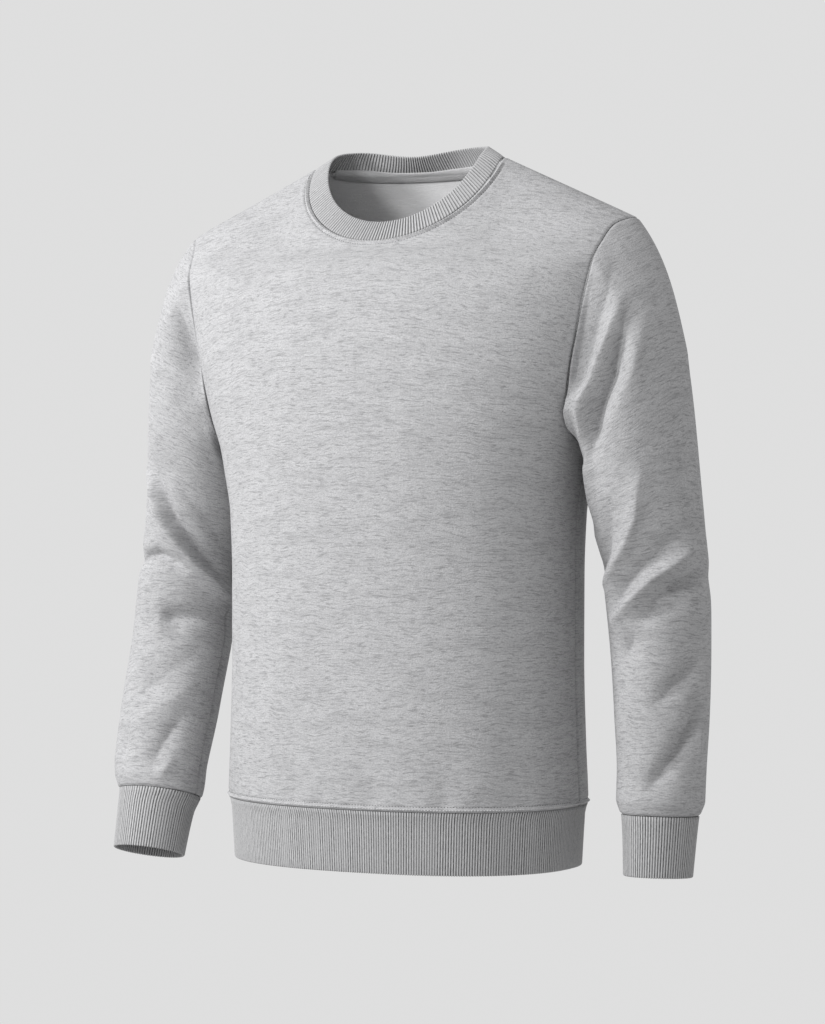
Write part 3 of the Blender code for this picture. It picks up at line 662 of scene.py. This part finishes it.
RIGHT_FOLDS = {
    "armhole crease": (
        (-106, -120, 9, 0), (-138, -99, 8, -7), (-168, -89, 7, -14), (-193, -78, 7, -18),
        (-214, -67, 7, -18), (-232, -60, 8, 0),
    ),
    "armhole ridge": ((-150, -135, 11, 0), (-190, -112, 11, 4), (-225, -88, 11, 4), (-250, -70, 12, 0)),
    "underarm notch": ((-236, -63, 7, 0), (-247, -55, 7, -4), (-262, -42, 8, 0)),
    "elbow crease": (
        (-276, -130, 10, 0), (-302, -113, 9, -7), (-328, -99, 9, -10), (-348, -86, 9, -12),
        (-364, -69, 9, -12), (-381, -50, 9, -11), (-397, -29, 9, -9), (-417, 4, 10, 0),
    ),
    "crease hollow": (
        (-268, -112, 18, 0), (-298, -94, 23, -8), (-326, -72, 24, -10), (-349, -48, 24, -10),
        (-372, -22, 24, -8), (-398, 12, 20, -4), (-413, 45, 18, 0),
    ),
    "under crease ridge": (
        (-288, -136, 8, 0), (-311, -118, 6.5, 8), (-333, -105, 6, 13), (-353, -92, 6, 17),
        (-370, -77, 6, 18), (-387, -60, 6, 18), (-403, -39, 6.5, 15), (-423, -9, 9, 8), (-434, 20, 11, 0),
    ),
    "second crease": (
        (-390, -154, 7, -4), (-383, -128, 5, -13), (-381, -102, 5, -13), (-388, -80, 6, -8),
        (-398, -60, 7, 0),
    ),
    "forearm bulge": ((-420, -140, 16, 0), (-420, -112, 15, 4), (-430, -90, 14, 3), (-445, -76, 13, 0)),
    "lower crease": (
        (-446, -88, 9, 0), (-444, -76, 9, -7), (-443, -45, 10, -6), (-444, -8, 11, -4), (-440, 15, 12, 0),
    ),
    "forearm dent": ((-444, -76, 9, 0), (-454, -66, 9, -3), (-470, -52, 10, 0)),
    "soft shade": ((-466, -25, 12, 0), (-488, -50, 17, -3), (-512, -86, 16, -5), (-526, -115, 12, 0)),
    "forearm swell": ((-500, -20, 16, 0), (-528, -62, 16, 4), (-545, -95, 14, 3), (-560, -125, 14, 0)),
    "wrist trough": ((-535, -36, 11, 0), (-555, -50, 10, -5), (-580, -64, 10, -5), (-600, -74, 11, 0)),
    "wrist ridge": ((-578, -40, 8, 0), (-594, -53, 8, 4), (-610, -62, 8, 0)),
    "outer trough": ((-540, -112, 9, 0), (-565, -118, 10, -5), (-595, -120, 10, 0)),
    "back elbow ridge": ((-380, 40, 13, 0), (-400, 75, 12, 5), (-428, 120, 13, 4), (-440, 150, 14, 0)),
    "back elbow trough": (
        (-335, 168, 13, 0), (-360, 138, 13, -6), (-405, 92, 12, -5), (-425, 62, 13, 0),
    ),
    "back arm trough": ((-180, 50, 14, 0), (-230, 70, 14, -5), (-290, 98, 15, 0)),
    "back wrist trough": ((-480, 120, 14, 0), (-525, 90, 14, -3), (-570, 65, 14, 0)),
}


def tube_normals(points):
    """Unit normals of a grid of points whose columns close on themselves."""
    wrapped = np.concatenate([points[:, -2:-1], points, points[:, 1:2]], axis=1)
    return unit(np.cross(wrapped[:, 2:] - wrapped[:, :-2], np.gradient(points, axis=0)))


def arm_section(table, z, angles):
    """The level section of a sleeve at height z, with the points at the given angles round its centre."""
    at = {name: curve(table, SLEEVE_COLUMNS, z, name) for name in SLEEVE_COLUMNS[1:]}
    x = at["x"] + at["half"] * np.cos(angles)
    y = at["y"] + at["depth"] * np.sin(angles)
    return np.stack([x, y, np.broadcast_to(z, x.shape)], axis=-1)


def tilt_of(table, z):
    """How a sleeve's open end leans: its front is as much higher as the forearm swings forward."""
    lower, upper = (curve(table, SLEEVE_COLUMNS, z + move, "y") for move in (-SLOPE_STEP, SLOPE_STEP))
    return (lower - upper) / (2 * SLOPE_STEP)


def fold_height(points, centre, folds):
    """How far the folds lift each point of a sleeve."""
    lift = np.zeros(points.shape[:-1])
    offset = points[..., :2] - centre[..., :2]
    angle = np.degrees(np.arctan2(offset[..., 1], offset[..., 0]))
    a_degree = np.radians(np.linalg.norm(offset, axis=-1))
    for fold in folds.values():
        rows = [dict(zip(FOLD_COLUMNS, np.multiply(row, FOLD_UNITS))) for row in fold]
        nearest = np.full(lift.shape, np.inf)
        height, width = np.zeros(lift.shape), np.ones(lift.shape)
        for start, end in zip(rows[:-1], rows[1:]):
            turned = (angle - start["angle"] + 180) % 360 - 180
            run_across, run_up = (end["angle"] - start["angle"]) * a_degree, end["z"] - start["z"]
            across, up = turned * a_degree, points[..., 2] - start["z"]
            share = np.clip((across * run_across + up * run_up) / (run_across**2 + run_up**2), 0, 1)
            away = np.hypot(across - share * run_across, up - share * run_up)
            nearer = away < nearest
            nearest = np.where(nearer, away, nearest)
            height = np.where(nearer, start["height"] + share * (end["height"] - start["height"]), height)
            width = np.where(nearer, start["width"] + share * (end["width"] - start["width"]), width)
        lift += height * np.exp(-((nearest / width) ** FOLD_POWER))
    return lift


def sleeve(ring, table, folds, mirror, cap_grain):
    """A sleeve's points, in rings from the cuff seam up, each begun under the arm, and its map in metres."""
    angles = np.pi + np.linspace(0, 2 * np.pi, len(ring))
    first_z = table[0][0]
    first = arm_section(table, np.float64(first_z), angles)
    end_way = unit(arm_section(table, np.float64(first_z - SLOPE_STEP), angles) - first)
    high = smooth_step((ring[:, 2] - UNDERARM_Z) / (-TIP_DROP - UNDERARM_Z))
    slope = np.radians(UNDERARM_SLOPE + (TIP_SLOPE - UNDERARM_SLOPE) * high)
    splay = CAP_SPLAY * np.sign(ring[:, 1]) * (1 - high) - CAP_FORWARD * high
    start_way = CAP_FULLNESS * unit(np.stack([np.cos(slope), splay, -np.sin(slope)], axis=-1))
    chord = np.linalg.norm(first - ring, axis=-1, keepdims=True)
    rows = []
    for t in np.linspace(0, 1, CAP_ROWS + 1)[:-1] ** CAP_CROWDING:
        h00, h10 = (1 + 2 * t) * (1 - t) ** 2, t * (1 - t) ** 2
        h01, h11 = t * t * (3 - 2 * t), t * t * (t - 1)
        rows.append(h00 * ring + h10 * chord * start_way + h01 * first + h11 * chord * end_way)
    shares = 1 - (1 - np.linspace(0, 1, ARM_ROWS + 1)) ** CUFF_CROWDING
    for z in first_z - (first_z + CUFF_SEAM_DROP) * shares:
        rows.append(arm_section(table, np.float64(z), angles))
    points = np.array(rows)
    middle = points[:, :-1].mean(axis=1, keepdims=True)
    lean = smooth_step((first_z - points[..., 2]) / (first_z + CUFF_SEAM_DROP))
    points[..., 2] += lean * tilt_of(table, -CUFF_SEAM_DROP) * (points[..., 1] - middle[..., 1])
    if mirror:
        points = (points * (-1, 1, 1))[:, ::-1]
        middle = middle * (-1, 1, 1)
    points = points[::-1]
    middle = middle[::-1]
    down = lengths(points, 0)
    to_cuff, to_seam = down, down[-1:] - down
    fade = smooth_step(to_seam / CAP_FADE) * smooth_step(to_cuff / CUFF_FADE)
    lift = fold_height(points, middle, folds) * fade
    for edge in (to_cuff, to_seam):
        lift = lift - SLEEVE_SEAM[0] * bell(edge, SLEEVE_SEAM[1])
    around = lengths(points, 1)
    lift = lift - ARM_SEAM[0] * bell(np.minimum(around, around[:, -1:] - around), ARM_SEAM[1])
    outward = np.sign(middle[..., 0]) * (points[..., 0] - middle[..., 0])
    shear = cap_grain * turning(points[..., 2])
    metres = np.stack([around - around[:, -1:] / 2, down - shear * outward], axis=-1)
    return points + tube_normals(points) * lift[..., None], metres


for name, edge, table, folds, mirror in (
    ("left_sleeve", -1, LEFT_SLEEVE, LEFT_FOLDS, False),
    ("right_sleeve", 0, RIGHT_SLEEVE, RIGHT_FOLDS, True),
):
    high = slice(FIRST_ARMHOLE_ROW, None)
    armhole = np.concatenate([front[high, edge], back[high, -1 - edge][::-1][1:]])
    ring = armhole * (-1, 1, 1) if mirror else armhole
    shape, metres = sleeve(ring, table, folds, mirror, CAP_GRAIN[name])
    fleece_piece(name + "_cloth", name, shape, metres, True)

# ---------------------------------------------------------------- rib waistband
# A doubled band of 1x1 rib knit, folded along its lower edge and sewn to the fleece with a topstitched seam.
# It grips a little, so the fleece rounds out over it.
RIB_WALL = 0.0026
RIB_RAISE = 0.0008
RIB_PITCH = 0.0030
RIB_GREY = (0.305, 0.305, 0.309, 1)
# The dark grey serves both the melange yarn's speckle and the painted shade in the grooves between the ribs.
# The pale grey is a painted highlight on the rib crowns.
RIB_FLECK_AND_GROOVE_SHADE = (0.070, 0.070, 0.071, 1)
RIB_CROWN_HIGHLIGHT = (0.500, 0.500, 0.506, 1)
# bold sets how strongly the painted groove shade and crown highlight show on each rib, broken breaks them up,
# and speckle is the yarn's dark flecks.
RIB_NOISES = {
    # width, height, detail, seed, low, high
    "bold": (0.0065, 0.2500, 2.0, 1.9, 0.38, 0.60),
    "broken": (0.0022, 0.0042, 2.0, 5.3, 0.60, 0.42),
    "speckle": (0.0014, 0.0018, 2.0, 9.1, 0.50, 0.70),
}
RIB_NAP = (0.0012, 0.0009, 1.0, 4.4)
RIB_NAP_STRENGTH, RIB_NAP_HEIGHT = 0.4, 0.0004
# Where across each rib the painted groove shade and the painted crown highlight lie.
GROOVE_SHADE_SPAN, CROWN_HIGHLIGHT_SPAN = (0.30, 0.08), (0.26, 0.46)
SPECKLE_SHARE, FAINTEST_RIB = 0.30, 0.4
BAND_CLEAR = 0.0004


def rib_material(name, base, dark, pale):
    """Rib knit: a painted highlight on its crowns and painted shade in its grooves, some bolder than others,
    broken by the melange yarn.
    """
    material, tree, shader = cloth_material(name, base, CLOTH_ROUGHNESS, CLOTH_SHEEN)
    place = add_node(tree, "ShaderNodeUVMap").outputs["UV"]
    across = add_node(tree, "ShaderNodeSeparateXYZ")
    tree.links.new(place, across.inputs["Vector"])
    ribs = arithmetic(tree, "DIVIDE", across.outputs["X"], RIB_PITCH)
    crest = arithmetic(tree, "PINGPONG", ribs, 0.5)
    groove_shade = ramp(tree, crest, *GROOVE_SHADE_SPAN)
    crown_highlight = ramp(tree, crest, *CROWN_HIGHLIGHT_SPAN)
    bold, broken, speckle = (patches(tree, place, *noise) for noise in RIB_NOISES.values())
    strength = arithmetic(tree, "MULTIPLY_ADD", bold, 1 - FAINTEST_RIB, FAINTEST_RIB)
    colour = blend_colours(tree, speckle, base, dark, SPECKLE_SHARE)
    # Paint the crown highlight and the groove shade over the speckled base.
    for shown, least, tint, most in ((crown_highlight, 0.45, pale, 0.85), (groove_shade, 0.55, dark, 0.95)):
        uneven = arithmetic(tree, "MULTIPLY_ADD", broken, 1 - least, least)
        drawn = arithmetic(tree, "MULTIPLY", arithmetic(tree, "MULTIPLY", shown, uneven), strength)
        colour = blend_colours(tree, drawn, colour, tint, most)
    tree.links.new(colour, shader.inputs["Base Color"])
    roughen(tree, shader, streaks(tree, place, *RIB_NAP), RIB_NAP_STRENGTH, RIB_NAP_HEIGHT)
    return material


rib_knit = rib_material("heather_rib", RIB_GREY, RIB_FLECK_AND_GROOVE_SHADE, RIB_CROWN_HIGHLIGHT)


def spaced(line, count):
    """A polyline's points at even distances along it."""
    along = lengths(line, 0)
    at = np.linspace(0, along[-1], count + 1)
    return np.stack([np.interp(at, along, line[:, axis]) for axis in range(3)], axis=-1)


def rib_band(name, node, rows, ways, points_a_rib, knit=rib_knit, raised=RIB_RAISE):
    """A doubled band from the rows of its outside, seam first, round the folded edge and back up inside."""
    count = rows.shape[1] - 1
    phase = np.arange(count + 1) / points_a_rib
    sunk = raised * (1 - np.sqrt(np.abs(np.sin(np.pi * phase))))[:, None]
    edge_way = unit(rows[-1] - rows[-2])
    loops = [row - way * sunk for row, way in zip(rows, ways)]
    half = RIB_WALL / 2
    for turn in np.radians((30, 60, 90, 120, 150)):
        round_way = ways[-1] * np.cos(turn) + edge_way * np.sin(turn)
        loops.append(rows[-1] - ways[-1] * half + round_way * (half - sunk))
    loops += [row - way * (RIB_WALL - sunk) for row, way in zip(rows[::-1], ways[::-1])]
    loops.append(loops[0])
    loops = np.array(loops)
    across = np.broadcast_to(phase * RIB_PITCH, loops.shape[:2])
    piece = cloth_mesh(name, loops, np.stack([across, lengths(loops, 0)], axis=-1), True)
    piece.data.materials.append(knit)
    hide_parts(node)
    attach(piece, "root")
    return piece


HEM_RIBS, HEM_RIB_POINTS, HEM_BAND_ROWS = 380, 4, 10
HEM_RIB_DEPTH, HEM_CROWDING = 0.059, 1.2
HEM_MIDDLE = np.array([0, -0.013, 0])
# How far down the waistband, as a share of its depth, and how far inside its seam.
HEM_INSETS = ((0, 0.0006), (0.12, 0.0030), (0.55, 0.0045), (1.0, 0.0060))
hem_seam = spaced(np.concatenate([front[0], back[0][1:]]), HEM_RIBS * HEM_RIB_POINTS)
hem_way = unit((hem_seam - HEM_MIDDLE) * (1, 1, 0))
hem_share = np.linspace(0, 1, HEM_BAND_ROWS) ** HEM_CROWDING
hem_inset = np.interp(hem_share, *np.transpose(HEM_INSETS))
hem_drop = BAND_CLEAR + hem_share * (HEM_RIB_DEPTH - BAND_CLEAR - RIB_WALL / 2)
hem_rows = hem_seam - hem_way * hem_inset[:, None, None] - np.array([0, 0, 1]) * hem_drop[:, None, None]
hem_ways = np.broadcast_to(hem_way, hem_rows.shape)
rib_band("waistband", "hem_rib", hem_rows, hem_ways, HEM_RIB_POINTS)

# ---------------------------------------------------------------- cuffs
# Each cuff is a short tube of the same doubled rib, sewn to the sleeve with a plain seam. It tapers towards
# the wrist and follows the lean of the forearm.
CUFF_DEPTH, CUFF_SEAM_DIP = 0.057, 0.0008
CUFF_RIBS, CUFF_RIB_POINTS, CUFF_BAND_ROWS = 84, 8, 14
for name, table, mirror in (("left_cuff", LEFT_SLEEVE, False), ("right_cuff", RIGHT_SLEEVE, True)):
    angles = np.pi + np.linspace(0, 2 * np.pi, CUFF_RIBS * CUFF_RIB_POINTS + 1)
    tilt = tilt_of(table, -CUFF_SEAM_DROP)
    cuff_rows, cuff_ways = [], []
    for share in np.linspace(0, 1, CUFF_BAND_ROWS):
        z = -CUFF_SEAM_DROP - BAND_CLEAR - share * (CUFF_DEPTH - BAND_CLEAR - RIB_WALL / 2)
        row = arm_section(table, np.float64(z), angles)
        row[:, 2] += tilt * (row[:, 1] - row[:-1, 1].mean())
        way = unit((row - row[:-1].mean(axis=0)) * (1, 1, 0))
        row -= way * CUFF_SEAM_DIP * (1 - share)
        cuff_rows.append(row * (-1, 1, 1) if mirror else row)
        cuff_ways.append(way * (-1, 1, 1) if mirror else way)
    order = slice(None, None, 1 if mirror else -1)
    rib_band(
        name + "_band", name, np.array(cuff_rows)[:, order], np.array(cuff_ways)[:, order], CUFF_RIB_POINTS,
    )

# ---------------------------------------------------------------- collar
# The neckline has a doubled rib collar, stretched round the scoop so that its ribs fan out. It stands up
# from the neck seam and leans in, higher at the back of the neck than in front.
NECK_RIB_WIDTH, NECK_CLEAR, NECK_SEAM_DIP = 0.0230, 0.0006, 0.0005
RIB_LEAN_COLUMNS = ("round", "lean")
RIB_LEANS = (
    (-180, 50), (-150, 49), (-137, 42), (-118, 20), (-100, 44), (-80, 52), (-45, 44), (0, 38),
    (45, 44), (80, 52), (100, 50), (125, 28), (150, 34), (165, 42), (180, 50),
)
NECK_RIBS, NECK_RIB_POINTS, NECK_BAND_ROWS = 185, 8, 12
NECK_RIB_RAISE = 0.0014
# The collar's dark grey serves both its yarn's speckle and the painted shade in its grooves, and its pale
# grey is a painted highlight on the crowns. Both are softer than the waistband's because its ribs stand
# higher.
NECK_RIB_FLECK_AND_GROOVE_SHADE, NECK_RIB_CROWN_HIGHLIGHT = (0.150, 0.150, 0.152, 1), (0.460, 0.460, 0.466, 1)
neck_knit = rib_material("heather_neck_rib", RIB_GREY, NECK_RIB_FLECK_AND_GROOVE_SHADE, NECK_RIB_CROWN_HIGHLIGHT)
COLLAR_EASE = 8 / 192


def eased(ring, reach):
    """A closed ring of points with its corners rounded over the given number of points to each side."""
    if reach < 0.5:
        return ring
    steps = np.arange(-int(3 * reach) - 1, int(3 * reach) + 2)
    weights = np.exp(-((steps / reach) ** 2))
    open_ring = ring[:-1]
    soft = sum(w * np.roll(open_ring, step, axis=0) for w, step in zip(weights, steps)) / weights.sum()
    return np.concatenate([soft, soft[:1]])


def collar_directions(seam):
    """The way the collar stands up from its seam, and the way its outside faces."""
    plan = unit(seam * (1, 1, 0))
    round_neck = np.degrees(np.arctan2(plan[:, 0], -plan[:, 1]))
    angle = np.radians(curve(RIB_LEANS, RIB_LEAN_COLUMNS, round_neck, "lean"))[:, None]
    upward = np.array([0, 0, 1])
    return upward * np.cos(angle) - plan * np.sin(angle), upward * np.sin(angle) + plan * np.cos(angle)


neck = slice(SHOULDER_COLUMNS, -SHOULDER_COLUMNS)
neck_seam = spaced(np.concatenate([front[-1, neck], back[-1, neck][1:]]), NECK_RIBS * NECK_RIB_POINTS)
lean, collar_way = collar_directions(neck_seam)
collar_rows = []
for share in np.linspace(0, 1, NECK_BAND_ROWS):
    raised = NECK_CLEAR + share * (NECK_RIB_WIDTH - NECK_CLEAR - RIB_WALL / 2)
    row = eased(neck_seam + lean * raised, COLLAR_EASE * share * len(neck_seam))
    collar_rows.append(row - collar_way * NECK_SEAM_DIP * (1 - share))
collar_ways = np.broadcast_to(collar_way, np.shape(collar_rows))
rib_band(
    "collar", "neck_rib", np.array(collar_rows), collar_ways, NECK_RIB_POINTS,
    knit=neck_knit, raised=NECK_RIB_RAISE,
)

# ---------------------------------------------------------------- neck tape
# A narrow strip of the fleece's own jersey covers the neck seam inside the back, from one shoulder seam to
# the other, and its lower edge casts a fine line of shadow.
TAPE_WALL, TAPE_ROLL, TAPE_CLEAR = 0.0010, 0.0010, 0.0004
TAPE_OVER_RIB, TAPE_UNDER, TAPE_TURN = 0.0042, 0.0085, 0.004
TAPE_GREYS = ((0.42, 0.42, 0.425, 1), (0.28, 0.28, 0.284, 1), (0.50, 0.50, 0.505, 1))
TAPE_CONTRAST, TAPE_ROWS, TAPE_ROUNDNESS = 0.6, 16, 0.6
OFF_THE_CORNERS = slice(2, -2)
tape_material = heather("heather_tape", *TAPE_GREYS, TAPE_CONTRAST)
tape_seam = back[-1, neck][::-1][OFF_THE_CORNERS]
tape_way = panel_normals(tape_seam, 1)
tape_under = unit((back[-2, neck] - back[-1, neck])[::-1][OFF_THE_CORNERS])
tape_lean, tape_collar_way = collar_directions(tape_seam)
tape_rows = []
for reach in np.linspace(-TAPE_OVER_RIB, TAPE_UNDER, TAPE_ROWS):
    share = (reach + TAPE_OVER_RIB) / (TAPE_OVER_RIB + TAPE_UNDER)
    roll = TAPE_ROLL * np.sin(np.pi * share) ** TAPE_ROUNDNESS
    up = tape_seam + tape_lean * max(-reach, 0) + tape_under * max(reach, 0)
    on_panel = smooth_step(reach / TAPE_TURN + 0.5)
    way = unit(tape_collar_way * (1 - on_panel) + tape_way * on_panel)
    wall = RIB_WALL * (1 - on_panel) + FLEECE_WALL * on_panel
    tape_rows.append(up - way * (wall + TAPE_CLEAR + roll))
tape_rows = np.array(tape_rows)
tape_metres = np.stack([lengths(tape_rows, 1), lengths(tape_rows, 0)], axis=-1)
tape = cloth_mesh("back_neck_tape", tape_rows, tape_metres, False)
tape.data.materials.append(tape_material)
tape_wall = tape.modifiers.new("wall", "SOLIDIFY")
tape_wall.thickness = TAPE_WALL
tape_wall.offset = -1
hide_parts("neck_tape")
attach(tape, "root")

# ---------------------------------------------------------------- stitching
# Two rows of machine stitches run round the neck seam and above the waistband: coverstitches in pale thread
# on the rolled welt, and a row of thread painted dark, standing in for the shade in the needle dimples, in a
# small groove, that holds the seam allowance down. Each stitch sinks into the cloth at its ends.
STITCH_PITCH = 0.0029
STITCH_SIDES, STITCH_STEP = 6, 0.0004
STITCH_SECTIONS = (
    # share of the length, girth, lift
    (0.0, 0.35, -0.00030),
    (0.25, 1.0, 0.0),
    (0.75, 1.0, 0.0),
    (1.0, 0.35, -0.00030),
)
THREAD_ROUGHNESS = 0.7
THREAD_TWISTS = (0.0009, 0.0009, 2.0, 6.6, 0.40, 0.60)


def thread_material(name, colour, shade):
    """Spun thread, with painted shade between its twists."""
    material, tree, shader = cloth_material(name, colour, THREAD_ROUGHNESS, 0.0)
    place = add_node(tree, "ShaderNodeTexCoord").outputs["Object"]
    # Patches of painted shade stand in for the hollows between the twists.
    twist = patches(tree, place, *THREAD_TWISTS)
    tree.links.new(blend_colours(tree, twist, colour, shade), shader.inputs["Base Color"])
    return material


# This thread is painted near black so that its stitches read as the dots of shade in the needle dimples along
# the seams.
dark_thread_for_painted_shade = thread_material("dark_thread_for_painted_shade", (0.11, 0.11, 0.112, 1), (0.06, 0.06, 0.061, 1))
pale_thread = thread_material("pale_thread", (0.50, 0.50, 0.506, 1), (0.38, 0.38, 0.385, 1))
STITCHES = (
    # kind, thread, distance from the edge, depth, length, thickness
    ("lock", dark_thread_for_painted_shade, STITCH_LINE, STITCH_GROOVE[0], 0.0017, 0.0006),
    ("cover", pale_thread, WELT[0], -WELT[1], 0.0024, 0.0008),
)


def between(along, line, at):
    """The point, or the direction, at a distance along a line."""
    return np.array([np.interp(at, along, line[:, axis]) for axis in range(3)])


def stitch_row(name, line, ways, thread, length, thick):
    """One joined mesh of short threads that lie end to end along a line on the cloth."""
    along = lengths(line, 0)
    work = bmesh.new()
    for start in np.arange(0, along[-1] - length, STITCH_PITCH):
        rings = []
        for share, girth, lift in STITCH_SECTIONS:
            at = start + share * length
            here, way = between(along, line, at), unit(between(along, ways, at))
            ahead, behind = between(along, line, at + STITCH_STEP), between(along, line, at - STITCH_STEP)
            side = unit(np.cross(way, ahead - behind))
            ring = []
            for turn in np.arange(STITCH_SIDES) * 2 * np.pi / STITCH_SIDES:
                spoke = side * np.cos(turn) + way * np.sin(turn)
                ring.append(work.verts.new(here + way * (lift + thick / 4) + spoke * girth * thick / 2))
            rings.append(ring)
        for ring, after in zip(rings[:-1], rings[1:]):
            for k in range(STITCH_SIDES):
                work.faces.new((ring[k - 1], ring[k], after[k], after[k - 1]))
        work.faces.new(rings[0][::-1])
        work.faces.new(rings[-1])
    bmesh.ops.recalc_face_normals(work, faces=work.faces)
    mesh = bpy.data.meshes.new(name)
    work.to_mesh(mesh)
    work.free()
    mesh.shade_smooth()
    mesh.materials.append(thread)
    piece = link(bpy.data.objects.new(name, mesh))
    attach(piece, "root")
    return piece


for name, points, side, drapes in (
    ("front", front, -1, FRONT_DRAPES + FRONT_GATHERS),
    ("back", back, 1, BACK_DRAPES + BACK_GATHERS),
):
    top = points[-1, neck]
    lower = points[-9, neck]
    inward = unit(np.cross(panel_normals(top, side), np.gradient(top, axis=0)))
    inward = inward * np.sign((inward * (lower - top)).sum())
    for kind, thread, away, sunk, length, thick in STITCHES:
        neck_line = (top + inward * away)[OFF_THE_CORNERS]
        hem_line = points[0] + np.array([0, 0, away])
        for edge, line in (("neck", neck_line), ("hem", hem_line)):
            line[:, 1] = depth_of(line[:, 0], line[:, 2], side)
            line_ways = panel_normals(line, side)
            line = line + line_ways * (drape_height(line, drapes) - sunk)[:, None]
            stitch_row(f"{name}_{edge}_{kind}_stitches", line, line_ways, thread, length, thick)
